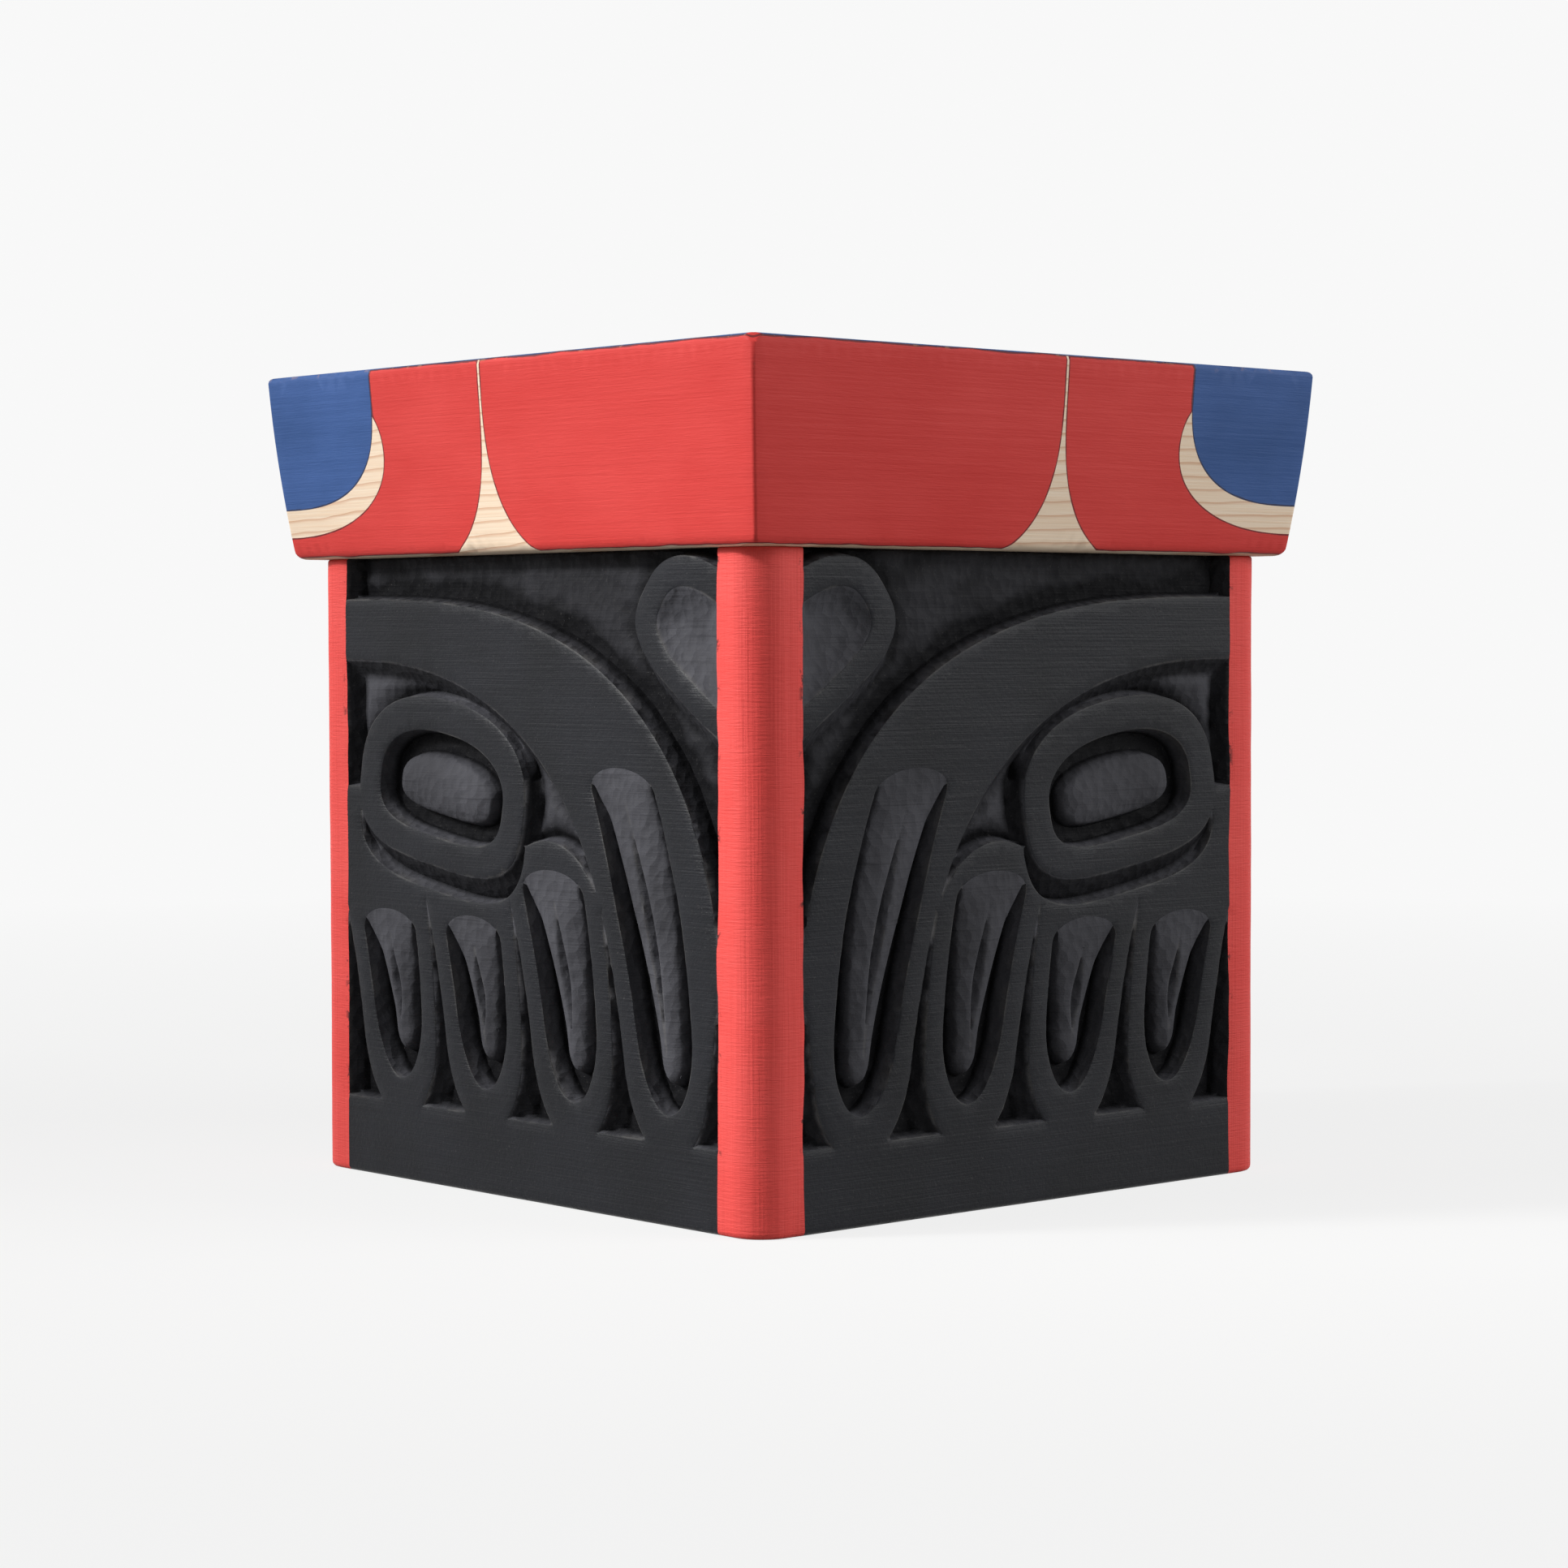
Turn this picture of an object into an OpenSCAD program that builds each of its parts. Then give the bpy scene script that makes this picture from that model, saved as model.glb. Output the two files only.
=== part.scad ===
// Bentwood box. One cedar plank is kerfed and steam-bent at three corners, then lapped and pegged
// at the fourth. A board is let into the bottom and pegged from below, and a hollowed lid lifts off.
// Millimetres, +Z up, origin on the floor under the middle of the box.

/* [Plank] */
// Outside width of each side
side_w = 248; // [210:1:300]
// Height of the sides
side_h = 225; // [190:1:300]
// Thickness of the plank
plank_t = 20; // [18:0.5:26]
// Outside radius of the corners
bend_r = 13; // [6:0.5:16]
// Width of the kerf that stays inside each bent corner
kerf_w = 1.2; // [0.6:0.1:2]
// Depth of that kerf, along the diagonal of the corner
kerf_depth = 13; // [6:0.5:15]

/* [Corner joint] */
// Thickness of the lip that laps over the other end of the plank
lap_t = 8; // [6:0.5:10]
// Hairline that shows between the two ends of the plank
seam_gap = 0.3; // [0.2:0.05:0.5]
// Number of pegs in the joint
corner_peg_count = 6; // [3:1:8]
// Diameter of a corner peg
corner_peg_d = 6; // [4:0.5:7]
// Length of a corner peg
corner_peg_len = 30; // [20:1:36]
// Depth of the peg row under the outside of the lapped side
corner_peg_inset = 12; // [11:0.5:13]
// Distance of the end pegs from the ends of the corner
corner_peg_end = 30; // [27:1:45]

/* [Bottom board] */
// Thickness of the board
base_t = 18; // [14:0.5:19]
// Height of its underside above the floor
base_lift = 2; // [0:0.5:3]
// Width of the rabbet that it sits in
rabbet_w = 11; // [10:0.5:12]
// Play between the board and the rabbet, on each edge
base_play = 0.3; // [0.1:0.05:0.5]
// Number of pegs along each edge
base_pegs_per_edge = 3; // [2:1:4]
// Diameter of a base peg
base_peg_d = 5; // [4:0.5:5.5]
// Length of a base peg
base_peg_len = 35; // [26:1:45]
// Distance of the base pegs outside the inner face of the plank
base_peg_inset = 6; // [5:0.5:7]
// Distance of the end pegs from the inner corners
base_peg_end = 30; // [25:1:45]
// Play around every peg, on the radius
peg_play = 0.05; // [0.02:0.01:0.1]

/* [Lid] */
// Height of the lid above the rim
lid_h = 67; // [50:1:90]
// Overhang of the lid at its lower edge
lid_foot_over = 5; // [4:0.5:14]
// Overhang of the lid at its upper edge
lid_top_over = 12.3; // [8:0.1:24]
// Swell of each side of the lid between those edges
lid_bulge = 0.8; // [0:0.1:2]
// Radius of the lower edge
lid_foot_r = 3; // [1:0.5:5]
// Radius of the upper edge
lid_top_r = 2; // [1:0.5:4]
// Thickness of the top
lid_top_t = 18; // [12:0.5:24]
// Height of the lip under the lid
lip_h = 12; // [8:0.5:18]
// Thickness of the lip
lip_t = 10; // [6:0.5:14]
// Play between the lip and the inside of the box
lip_play = 0.6; // [0.4:0.1:1]

/* [Carving] */
// Plain strip that is kept on each side of a corner
stripe_w = 20; // [17:0.5:26]
// Depth of the ground around the wing
ground_depth = 6; // [3:0.5:7]
// Depth of the grooves inside the feathers and the ovoid
groove_depth = 7; // [3:0.5:7.5]
// Depth of the splits in the tongues and the dish by the corner
slit_depth = 4; // [2:0.5:6]

/* [Hidden] */
$fn = 48;
cut_over = 1;

half_w = side_w / 2;
inner_half = half_w - plank_t;
shoulder_z = base_lift + base_t;
base_half = inner_half + rabbet_w - base_play;
lid_foot_half = half_w + lid_foot_over;
lid_top_half = half_w + lid_top_over;
lip_half = inner_half - lip_play;
hollow_half = lip_half - lip_t;

// The carving is a wing, drawn on a sheet of this size and stretched to the panel between two stripes.
// The first axis of the sheet runs from the shoulder of the wing to its long feather, the second one up.
sheet = [200, 225];
sheet_scale = [(side_w - 2 * stripe_w) / sheet[0], side_h / sheet[1]];

// Feathers hang side by side and bend outwards, each with a groove that leaves a tongue standing.
feather_tops = [98, 98, 116, 152];
feather_count = len(feather_tops);
feather_first = 32;
feather_pitch = 48;
feather_sweep = 22;
sweep_span = 120;
tip_z = 22;
split_z = 104;
feather_open = 0.055;
feather_end = 30;
side_band = 8;
tip_band = 15;
groove_ends = [26, 8];
tongue_gap = 8.5;
tongue_foot = 10.5;
tongue_end = 18;
tongue_full_z = 62;
tongue_taper = 0.6;
split_half = 2.6;
split_foot = 30;
split_head = 8;
hem_z = 28;
fill_x = 170;
fill_foot = [196.5, 50];
fill_head = [200, 80];
leaf_steps = 10;

// The leading edge of the wing is the band between two arches, which share a foot.
arch_foot = 40;
arch_out = [203, 170];
arch_out_power = 2.8;
arch_in = [150, 148];
arch_in_power = 2.4;
arch_steps = 18;
top_ground_foot = 82;
shoulder_half = [34, 46];
shoulder_centre = [113, 80];
shoulder_block = [90, 142];
shoulder_foot = 100;

// The ovoid is the wing's joint, with a half-moon under it. A smaller one stands by the corner.
ovoid_half = [47, 32];
ovoid_centre = [55, 142];
ovoid_turn = -10;
ovoid_band = 12;
ovoid_groove = 9;
ovoid_steps = 36;
ovoid_power = [0.85, 0.6];
ovoid_flat = 0.86;
crescent_shift = [1, -9];
bud_half = [40, 25];
bud_centre = [198, 190];
bud_turn = -36;
bud_band = 10;

corner_pegs = [for (i = [1:corner_peg_count]) str("corner_peg_", i)];
base_peg_count = 4 * base_pegs_per_edge;
base_pegs = [for (i = [1:base_peg_count]) str("base_peg_", i)];

// Share of the full width at a distance from a rounded end, where f counts in lengths of that end.
function round_end(f) = f >= 1 ? 1 : sqrt(max(0, 1 - (1 - f) * (1 - f)));

// Line down the middle of the i-th feather, and half of the room that it has there.
function feather_line(i, z) =
    feather_first + feather_pitch * i - feather_sweep * pow((z - tip_z) / sweep_span, 2);
function feather_room(z) = feather_pitch / 2 - feather_open * max(0, split_z - z);

// Outline about a feather's middle line with the given half widths, up one side and down the other.
function leaf_heights(z0, z1) =
    [for (k = [0:leaf_steps]) z0 + (z1 - z0) * (1 - cos(180 * k / leaf_steps)) / 2];
function leaf(i, zs, half) = concat(
    [for (k = [0:leaf_steps]) [feather_line(i, zs[k]) + half[k], zs[k]]],
    [for (k = [leaf_steps:-1:0]) [feather_line(i, zs[k]) - half[k], zs[k]]]);

function feather_outline(i) = let (zs = leaf_heights(tip_z, split_z + cut_over))
    leaf(i, zs, [for (z = zs) feather_room(z) * round_end((z - tip_z) / feather_end)]);
function feather_groove(i) = let (z0 = tip_z + tip_band, z1 = feather_tops[i], zs = leaf_heights(z0, z1))
    leaf(i, zs, [for (z = zs) (feather_room(z) - side_band)
        * round_end((z - z0) / groove_ends[0]) * round_end((z1 - z) / groove_ends[1])]);

// The tongue fills its groove at the top and draws in downwards, which leaves two pointed legs.
function tongue_loss(i, z) = let (f = (feather_tops[i] - z) / (feather_tops[i] - tongue_full_z))
    tongue_gap * pow(min(1, max(0, f)), tongue_taper);
function feather_tongue(i) = let (
        z0 = tip_z + tip_band + tongue_foot, zs = leaf_heights(z0, feather_tops[i] + cut_over)
    ) leaf(i, zs, [for (z = zs)
        (feather_room(z) - side_band - tongue_loss(i, z)) * round_end((z - z0) / tongue_end)]);
function tongue_split(i) = let (
        z0 = tip_z + tip_band + split_foot, z1 = feather_tops[i] - split_head, zs = leaf_heights(z0, z1)
    ) leaf(i, zs, [for (z = zs) split_half * pow(sin(180 * (z - z0) / (z1 - z0)), 2)]);

// Outline of an ovoid: round above, flatter below, with full lower corners.
function ovoid(half, centre, turn) = [for (k = [0:ovoid_steps - 1]) let (
        t = 360 * k / ovoid_steps,
        upper = sin(t) >= 0,
        n = ovoid_power[upper ? 0 : 1],
        x = half[0] * sign(cos(t)) * pow(abs(cos(t)), n),
        y = half[1] * sign(sin(t)) * pow(abs(sin(t)), n) * (upper ? 1 : ovoid_flat)
    ) centre + [x * cos(turn) - y * sin(turn), x * sin(turn) + y * cos(turn)]];

// Everything under an arch, from the side of the sheet that it starts on.
function arch(half, power) = concat([[0, 0], [half[0], 0]],
    [for (k = [0:arch_steps]) let (t = 90 * k / arch_steps)
        [half[0] * pow(cos(t), 2 / power), arch_foot + half[1] * pow(sin(t), 2 / power)]]);

function block(low, high) = [low, [high[0], low[1]], high, [low[0], high[1]]];
function ellipse(half, centre) = [for (k = [0:ovoid_steps - 1]) let (t = 360 * k / ovoid_steps)
    centre + [half[0] * cos(t), half[1] * sin(t)]];

// A form on the sheet, stretched to the panel point by point.
module form(points) polygon([for (p = points) [p[0] * sheet_scale[0], p[1] * sheet_scale[1]]]);
module ovoid_shape(inset) form(ovoid(ovoid_half - [inset, inset], ovoid_centre, ovoid_turn));
module bud_shape(inset) form(ovoid(bud_half - [inset, inset], bud_centre, bud_turn));

// Ground above the leading edge, open along the rim.
module top_ground() difference() {
    form(block([0, top_ground_foot], sheet + [0, cut_over]));
    form(arch(arch_out, arch_out_power));
    bud_shape(0);
}

// Ground under the leading edge, around the ovoid and down to the shoulder of a feather.
module shoulder_ground() difference() {
    form(arch(arch_in, arch_in_power));
    form(block([0, 0], [sheet[0], shoulder_foot]));
    form(block([0, 0], shoulder_block));
    form(ellipse(shoulder_half, shoulder_centre));
}

// Half-moon between the ovoid and the roots of the feathers.
module crescent() difference() {
    form(ovoid(ovoid_half, ovoid_centre + crescent_shift, ovoid_turn));
    form(block([0, ovoid_centre[1]], sheet));
}

module inner_ground() difference() {
    union() {
        shoulder_ground();
        crescent();
    }
    ovoid_shape(0);
}

// Ground between the tips of the feathers, which runs up between them to a point.
module tip_ground() difference() {
    form(block([0, hem_z], [sheet[0], split_z]));
    for (i = [0:feather_count - 1]) form(feather_outline(i));
    form([[fill_x, fill_foot[1]], fill_foot, fill_head, [sheet[0] + cut_over, fill_head[1]],
          [sheet[0] + cut_over, sheet[1]], [fill_x, sheet[1]]]);
}

// A pocket in the panel on the -Y side, cut in from its outer face.
module pocket(depth) translate([stripe_w - half_w, depth - half_w, 0]) rotate([90, 0, 0])
    linear_extrude(depth + cut_over) children();

module panel_cuts() {
    pocket(ground_depth) top_ground();
    pocket(ground_depth) inner_ground();
    pocket(ground_depth) tip_ground();
    pocket(groove_depth) difference() {
        ovoid_shape(ovoid_band);
        ovoid_shape(ovoid_band + ovoid_groove);
    }
    pocket(slit_depth) intersection() {
        bud_shape(bud_band);
        form(block([0, 0], sheet));
    }
    for (i = [0:feather_count - 1]) {
        pocket(groove_depth) difference() {
            form(feather_groove(i));
            form(feather_tongue(i));
        }
        pocket(slit_depth) form(tongue_split(i));
    }
}

// Solid of the outside of the box, with round corners.
module outside(h) linear_extrude(h) {
    square([side_w, side_w - 2 * bend_r], center = true);
    square([side_w - 2 * bend_r, side_w], center = true);
    for (x = [-1, 1], y = [-1, 1]) translate([x, y] * (half_w - bend_r)) circle(bend_r);
}

module square_block(half, z0, z1)
    translate([-half, -half, z0]) cube([2 * half, 2 * half, z1 - z0]);

// Hairline of the lap joint in the corner at +X +Y: along the inner face, then out under the lip.
module lap_seam() {
    translate([inner_half - seam_gap / 2, inner_half - cut_over, -cut_over])
        cube([seam_gap, plank_t - lap_t + cut_over, side_h + 2 * cut_over]);
    translate([inner_half - seam_gap / 2, half_w - lap_t - seam_gap / 2, -cut_over])
        cube([plank_t + cut_over, seam_gap, side_h + 2 * cut_over]);
}

// Kerf inside a bent corner, running from the inner corner towards the bend.
module kerf() translate([inner_half, inner_half, -cut_over]) rotate([0, 0, 45])
    translate([-cut_over, -kerf_w / 2, 0])
        cube([kerf_depth + cut_over, kerf_w, side_h + 2 * cut_over]);

function corner_peg_z(i) =
    corner_peg_end + (side_h - 2 * corner_peg_end) * (i - 1) / (corner_peg_count - 1);

// Round bar of the i-th corner peg, driven through the lip into the end of the other side.
module corner_peg_bar(i, r, extra)
    translate([half_w - corner_peg_inset, half_w + extra, corner_peg_z(i)]) rotate([90, 0, 0])
        cylinder(r = r, h = corner_peg_len + extra);

function base_peg_along(i) = let (span = inner_half - base_peg_end, k = (i - 1) % base_pegs_per_edge)
    -span + 2 * span * k / (base_pegs_per_edge - 1);

// Round bar of the i-th base peg, counted edge by edge, driven up through the board into the plank.
module base_peg_bar(i, r, extra)
    rotate([0, 0, 90 * floor((i - 1) / base_pegs_per_edge)])
        translate([base_peg_along(i), -inner_half - base_peg_inset, base_lift - extra])
            cylinder(r = r, h = base_peg_len + extra);

module side_plank() color("#2e2f31") difference() {
    outside(side_h);
    square_block(inner_half, -cut_over, side_h + cut_over);
    square_block(inner_half + rabbet_w, -cut_over, shoulder_z);
    for (turn = [90, 180, 270]) rotate([0, 0, turn]) kerf();
    lap_seam();
    for (i = [1:corner_peg_count]) corner_peg_bar(i, corner_peg_d / 2, cut_over);
    for (i = [1:base_peg_count]) base_peg_bar(i, base_peg_d / 2, cut_over);
    for (turn = [90, 270]) rotate([0, 0, turn]) {
        panel_cuts();
        mirror([1, -1, 0]) panel_cuts();
    }
}

module base_board() color("#c9a27c") difference() {
    square_block(base_half, base_lift, shoulder_z);
    for (i = [1:base_peg_count]) base_peg_bar(i, base_peg_d / 2, cut_over);
}

// Half width of the lid at a height: a slope that swells a little, rounded at both edges.
function edge_loss(d, r) = d >= r ? 0 : r - sqrt(r * r - (r - d) * (r - d));
function lid_half(z) = let (f = z / lid_h)
    lid_foot_half + (lid_top_half - lid_foot_half) * f + 4 * lid_bulge * f * (1 - f)
    - edge_loss(z, lid_foot_r) - edge_loss(lid_h - z, lid_top_r);

lid_side_steps = 6;
lid_edge_steps = 3;
function lid_heights() = concat(
    [for (i = [0:lid_edge_steps]) lid_foot_r * (1 - cos(90 * i / lid_edge_steps))],
    [for (i = [1:lid_side_steps - 1])
        lid_foot_r + (lid_h - lid_foot_r - lid_top_r) * i / lid_side_steps],
    [for (i = [lid_edge_steps:-1:0]) lid_h - lid_top_r * (1 - cos(90 * i / lid_edge_steps))]);

module lid_profile() let (zs = lid_heights(), n = len(zs)) polygon(concat(
    [for (i = [0:n - 1]) [lid_half(zs[i]), zs[i]]],
    [for (i = [n - 1:-1:0]) [-lid_half(zs[i]), zs[i]]]));

// The lid's section drawn out along one axis. Two of them crossed give its mitred corners.
module lid_bar() rotate([90, 0, 0])
    linear_extrude(2 * (lid_top_half + lid_bulge + cut_over), center = true) lid_profile();

module lid() color("#c8413d") translate([0, 0, side_h]) difference() {
    union() {
        intersection() {
            lid_bar();
            rotate([0, 0, 90]) lid_bar();
        }
        square_block(lip_half, -lip_h, lid_foot_r);
    }
    square_block(hollow_half, -lip_h - cut_over, lid_h - lid_top_t);
}

module corner_peg(i) color("#b98a5e") intersection() {
    corner_peg_bar(i, corner_peg_d / 2 - peg_play, cut_over);
    outside(side_h);
}

module base_peg(i) color("#b98a5e") base_peg_bar(i, base_peg_d / 2 - peg_play, 0);

side_plank();
base_board();
lid();
for (i = [1:corner_peg_count]) corner_peg(i);
for (i = [1:base_peg_count]) base_peg(i);
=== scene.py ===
import math

import bmesh
import bpy
import numpy as np
from mathutils import Matrix, Vector
from mathutils.geometry import delaunay_2d_cdt


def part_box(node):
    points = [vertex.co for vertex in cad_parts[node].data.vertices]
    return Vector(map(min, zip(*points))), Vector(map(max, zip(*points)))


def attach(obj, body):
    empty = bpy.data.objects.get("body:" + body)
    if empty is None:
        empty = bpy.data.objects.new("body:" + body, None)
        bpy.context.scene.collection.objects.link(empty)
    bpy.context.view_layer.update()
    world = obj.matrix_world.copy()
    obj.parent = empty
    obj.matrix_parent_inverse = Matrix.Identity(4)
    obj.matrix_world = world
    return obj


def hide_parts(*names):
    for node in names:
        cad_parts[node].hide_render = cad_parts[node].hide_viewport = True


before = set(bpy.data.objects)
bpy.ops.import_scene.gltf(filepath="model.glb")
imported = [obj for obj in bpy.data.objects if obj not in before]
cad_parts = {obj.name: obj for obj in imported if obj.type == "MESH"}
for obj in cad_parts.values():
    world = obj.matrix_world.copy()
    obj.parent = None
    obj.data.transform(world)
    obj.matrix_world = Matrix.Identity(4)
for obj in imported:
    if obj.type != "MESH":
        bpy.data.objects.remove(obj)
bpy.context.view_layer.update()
scene = bpy.context.scene
scene.view_settings.view_transform = "Standard"
mm = 0.001                               # shapes are worked out in millimetres and made in metres
plankLow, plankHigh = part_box("side_plank")
baseLow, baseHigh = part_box("base_board")
lidLow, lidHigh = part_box("lid")
print("frame loaded:", len(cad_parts), "nodes")


# The camera stands where the corners of the box in the photograph put it

view = dict(place=(-0.9089, -1.0150, 0.19368), yaw=41.79, down=2.18, roll=0.15, lens=84.9, sensor=36.0)


def setCamera():
    data = bpy.data.cameras.new("camera")
    data.lens = view["lens"]
    data.sensor_width = view["sensor"]
    camera = bpy.data.objects.new("camera", data)
    yaw, down, roll = (math.radians(view[name]) for name in ("yaw", "down", "roll"))
    turn = (Matrix.Rotation(-yaw, 4, "Z") @ Matrix.Rotation(math.pi / 2 - down, 4, "X")
            @ Matrix.Rotation(-roll, 4, "Z"))
    camera.matrix_world = Matrix.Translation(view["place"]) @ turn
    scene.collection.objects.link(camera)
    scene.camera = camera


setCamera()
print("camera set")


# Nodes and colours

def linearColour(text):                  # sRGB hex to linear
    channels = [int(text[k:k + 2], 16) / 255 for k in (1, 3, 5)]
    linear = [c / 12.92 if c <= 0.04045 else ((c + 0.055) / 1.055) ** 2.4 for c in channels]
    return (*linear, 1.0)


# Adds a node with its settings and links, and gives one of its outputs, or the node itself for None.
# Map Range takes value, from low, from high, to low, to high; Mix takes its share at 0, colours at 6 and 7.
def addNode(tree, kind, inputs=None, give=0, **settings):
    node = tree.nodes.new(kind)
    for name, value in settings.items():
        setattr(node, name, value)
    for key, value in (inputs or {}).items():
        if isinstance(value, bpy.types.NodeSocket):
            tree.links.new(value, node.inputs[key])
        else:
            node.inputs[key].default_value = value
    return node if give is None else node.outputs[give]


def newMaterial(name):
    material = bpy.data.materials.new(name)
    material.use_nodes = True
    material.node_tree.nodes.clear()
    return material, material.node_tree


# Noise in lumps of a length and a width in millimetres, drawn out along the level grain of the wood.
# The grain is tilted a little, so that level faces also cut through it, in wide flat-sawn figure.
grainTilt = math.radians(3.0)


def grain(tree, longMm, wideMm, shift=0.0, detail=3.0):
    place = addNode(tree, "ShaderNodeTexCoord", give="Object")
    drawn = addNode(tree, "ShaderNodeMapping", {
        "Vector": place, "Location": (shift, shift, shift), "Rotation": (grainTilt, 0, 0),
        "Scale": (1 / (longMm * mm), 1 / (longMm * mm), 1 / (wideMm * mm))})
    return addNode(tree, "ShaderNodeTexNoise", {
        "Vector": drawn, "Scale": 1.0, "Detail": detail, "Roughness": 0.6})


# Colours laid over each other, each by a mask that rises between two values, up to a share at most
def layColours(tree, colour, *layers):
    for mask, low, high, most, over in layers:
        share = addNode(tree, "ShaderNodeMapRange", {0: mask, 1: low, 2: high, 4: most})
        colour = addNode(tree, "ShaderNodeMix", {0: share, 6: colour, 7: over}, 2, data_type="RGBA")
    return colour


def finishMaterial(material, colour, gloss, height, depthMm, strength, ior=1.5, level=0.5):
    tree = material.node_tree
    bump = addNode(tree, "ShaderNodeBump", {
        "Height": height, "Distance": depthMm * mm, "Strength": strength})
    shader = addNode(tree, "ShaderNodeBsdfPrincipled", {
        "Base Color": colour, "Roughness": gloss, "IOR": ior, "Specular IOR Level": level, "Normal": bump})
    addNode(tree, "ShaderNodeOutputMaterial", {"Surface": shader}, None)
    return material


# Black paint on cedar, with level grain showing through and a fine pale speckle. On the flats it is an even
# satin grey, rubbed to a thin paler line along the arrises, which is also a painted highlight on the edges.
# In the cuts it is matt and keeps the facets of the knife: lighter where it faces up to the light, and
# painted near black as painted shade deep down, on the open ground and on the slopes that face down.
def blackCoat(name, flat, dusty, level, gloss, facets):
    material, tree = newMaterial(name)
    # deep is the near black of the painted shade in the cuts, and of the darker grain streaks
    flat, dusty, deep, pale = (linearColour(text) for text in (flat, dusty, "#09090a", "#6c6a68"))
    facetMm = (3.8, 3.8, 4.6)
    # hollow carries painted shade from the carving: how near black each point is painted
    hollow = addNode(tree, "ShaderNodeAttribute", give="Fac", attribute_name="hollow")
    wear = addNode(tree, "ShaderNodeAttribute", give="Fac", attribute_name="wear")
    coarse = grain(tree, 120, 2.4)
    fine = grain(tree, 45, 0.7, shift=3.1)
    specks = grain(tree, 0.8, 0.8, shift=7.0)
    patches = grain(tree, 14, 14, shift=5.0)
    # The pale line along the arrises, broken in patches, is worn paint and also a painted highlight where the
    # edges catch the light
    broken = addNode(tree, "ShaderNodeMapRange", {0: patches, 1: 0.46, 2: 0.62, 4: 0.36})
    rubbed = addNode(tree, "ShaderNodeMath", {0: wear, 1: broken}, operation="MULTIPLY")
    # The hollow layer is painted shade: near black in the deep cuts, on the open ground and on the slopes
    # that face down
    colour = layColours(
        tree, flat, (grain(tree, 38, 38), 0.35, 0.65, 1.0, dusty), (hollow, 0.0, 0.7, 0.9, deep),
        (fine, 0.58, 0.72, 0.3, deep), (specks, 0.63, 0.75, 0.3, pale), (rubbed, 0.0, 1.0, 1.0, pale))
    place = addNode(tree, "ShaderNodeTexCoord", give="Object")
    drawn = addNode(tree, "ShaderNodeMapping", {
        "Vector": place, "Scale": tuple(1 / (size * mm) for size in facetMm)})
    chips = addNode(tree, "ShaderNodeTexVoronoi", {"Vector": drawn, "Scale": 1.0})
    grit = addNode(tree, "ShaderNodeMath", {0: fine, 1: grain(tree, 1.6, 1.6)}, operation="ADD")
    relief = addNode(tree, "ShaderNodeMath", {0: chips, 1: facets, 2: grit}, operation="MULTIPLY_ADD")
    satin = addNode(tree, "ShaderNodeMapRange", {0: coarse, 1: 0.3, 2: 0.7, 3: gloss[0], 4: gloss[1]})
    return finishMaterial(material, colour, satin, relief, depthMm=0.3, strength=0.6, level=level)


# Acrylic paint brushed on cedar: faint brush lines in colour and sheen, cloudy patches, a few dark pores,
# a dark drawn line where two fields meet, and what lies under the paint where an edge is rubbed through.
# The strokes have a level and an upright size, and run along the longer one.
def brushedPaint(name, body, deep, pale, under, strokes, relief, drawn):
    material, tree = newMaterial(name)
    body, deep, pale, under, ink = (linearColour(text) for text in (body, deep, pale, under, "#2c2226"))
    brush = grain(tree, *strokes, shift=1.7)
    pores = grain(tree, 5, 0.6, shift=4.3)
    weave = grain(tree, 16, 0.6, shift=9.0)
    layers = [(grain(tree, 60, 34, shift=2.2), 0.36, 0.64, 1.0, pale), (brush, 0.42, 0.72, 0.2, deep),
              (pores, 0.7, 0.78, 0.6, deep)]
    if drawn:
        border = addNode(tree, "ShaderNodeAttribute", give="Fac", attribute_name="border")
        reach = addNode(tree, "ShaderNodeMapRange", {
            0: grain(tree, 7, 7, shift=6.0), 1: 0.3, 2: 0.7, 3: 0.35, 4: 0.7})
        near = addNode(tree, "ShaderNodeMath", {0: border, 1: reach}, operation="LESS_THAN")
        layers.append((near, 0.0, 1.0, 0.75, ink))
    wear = addNode(tree, "ShaderNodeAttribute", give="Fac", attribute_name="wear")
    broken = addNode(tree, "ShaderNodeMapRange", {0: grain(tree, 5, 5, shift=8.0), 1: 0.58, 2: 0.64})
    rubbed = addNode(tree, "ShaderNodeMath", {0: wear, 1: broken}, operation="MULTIPLY")
    colour = layColours(tree, body, *layers, (rubbed, 0.0, 1.0, 1.0, under))
    threads = addNode(tree, "ShaderNodeMath", {0: weave, 1: pores}, operation="ADD")
    heights = addNode(tree, "ShaderNodeMath", {0: brush, 1: threads}, operation="ADD")
    gloss = addNode(tree, "ShaderNodeMapRange", {0: brush, 1: 0.3, 2: 0.7, 3: 0.52, 4: 0.66})
    return finishMaterial(material, colour, gloss, heights, relief, strength=0.5, ior=1.48, level=0.2)


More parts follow.
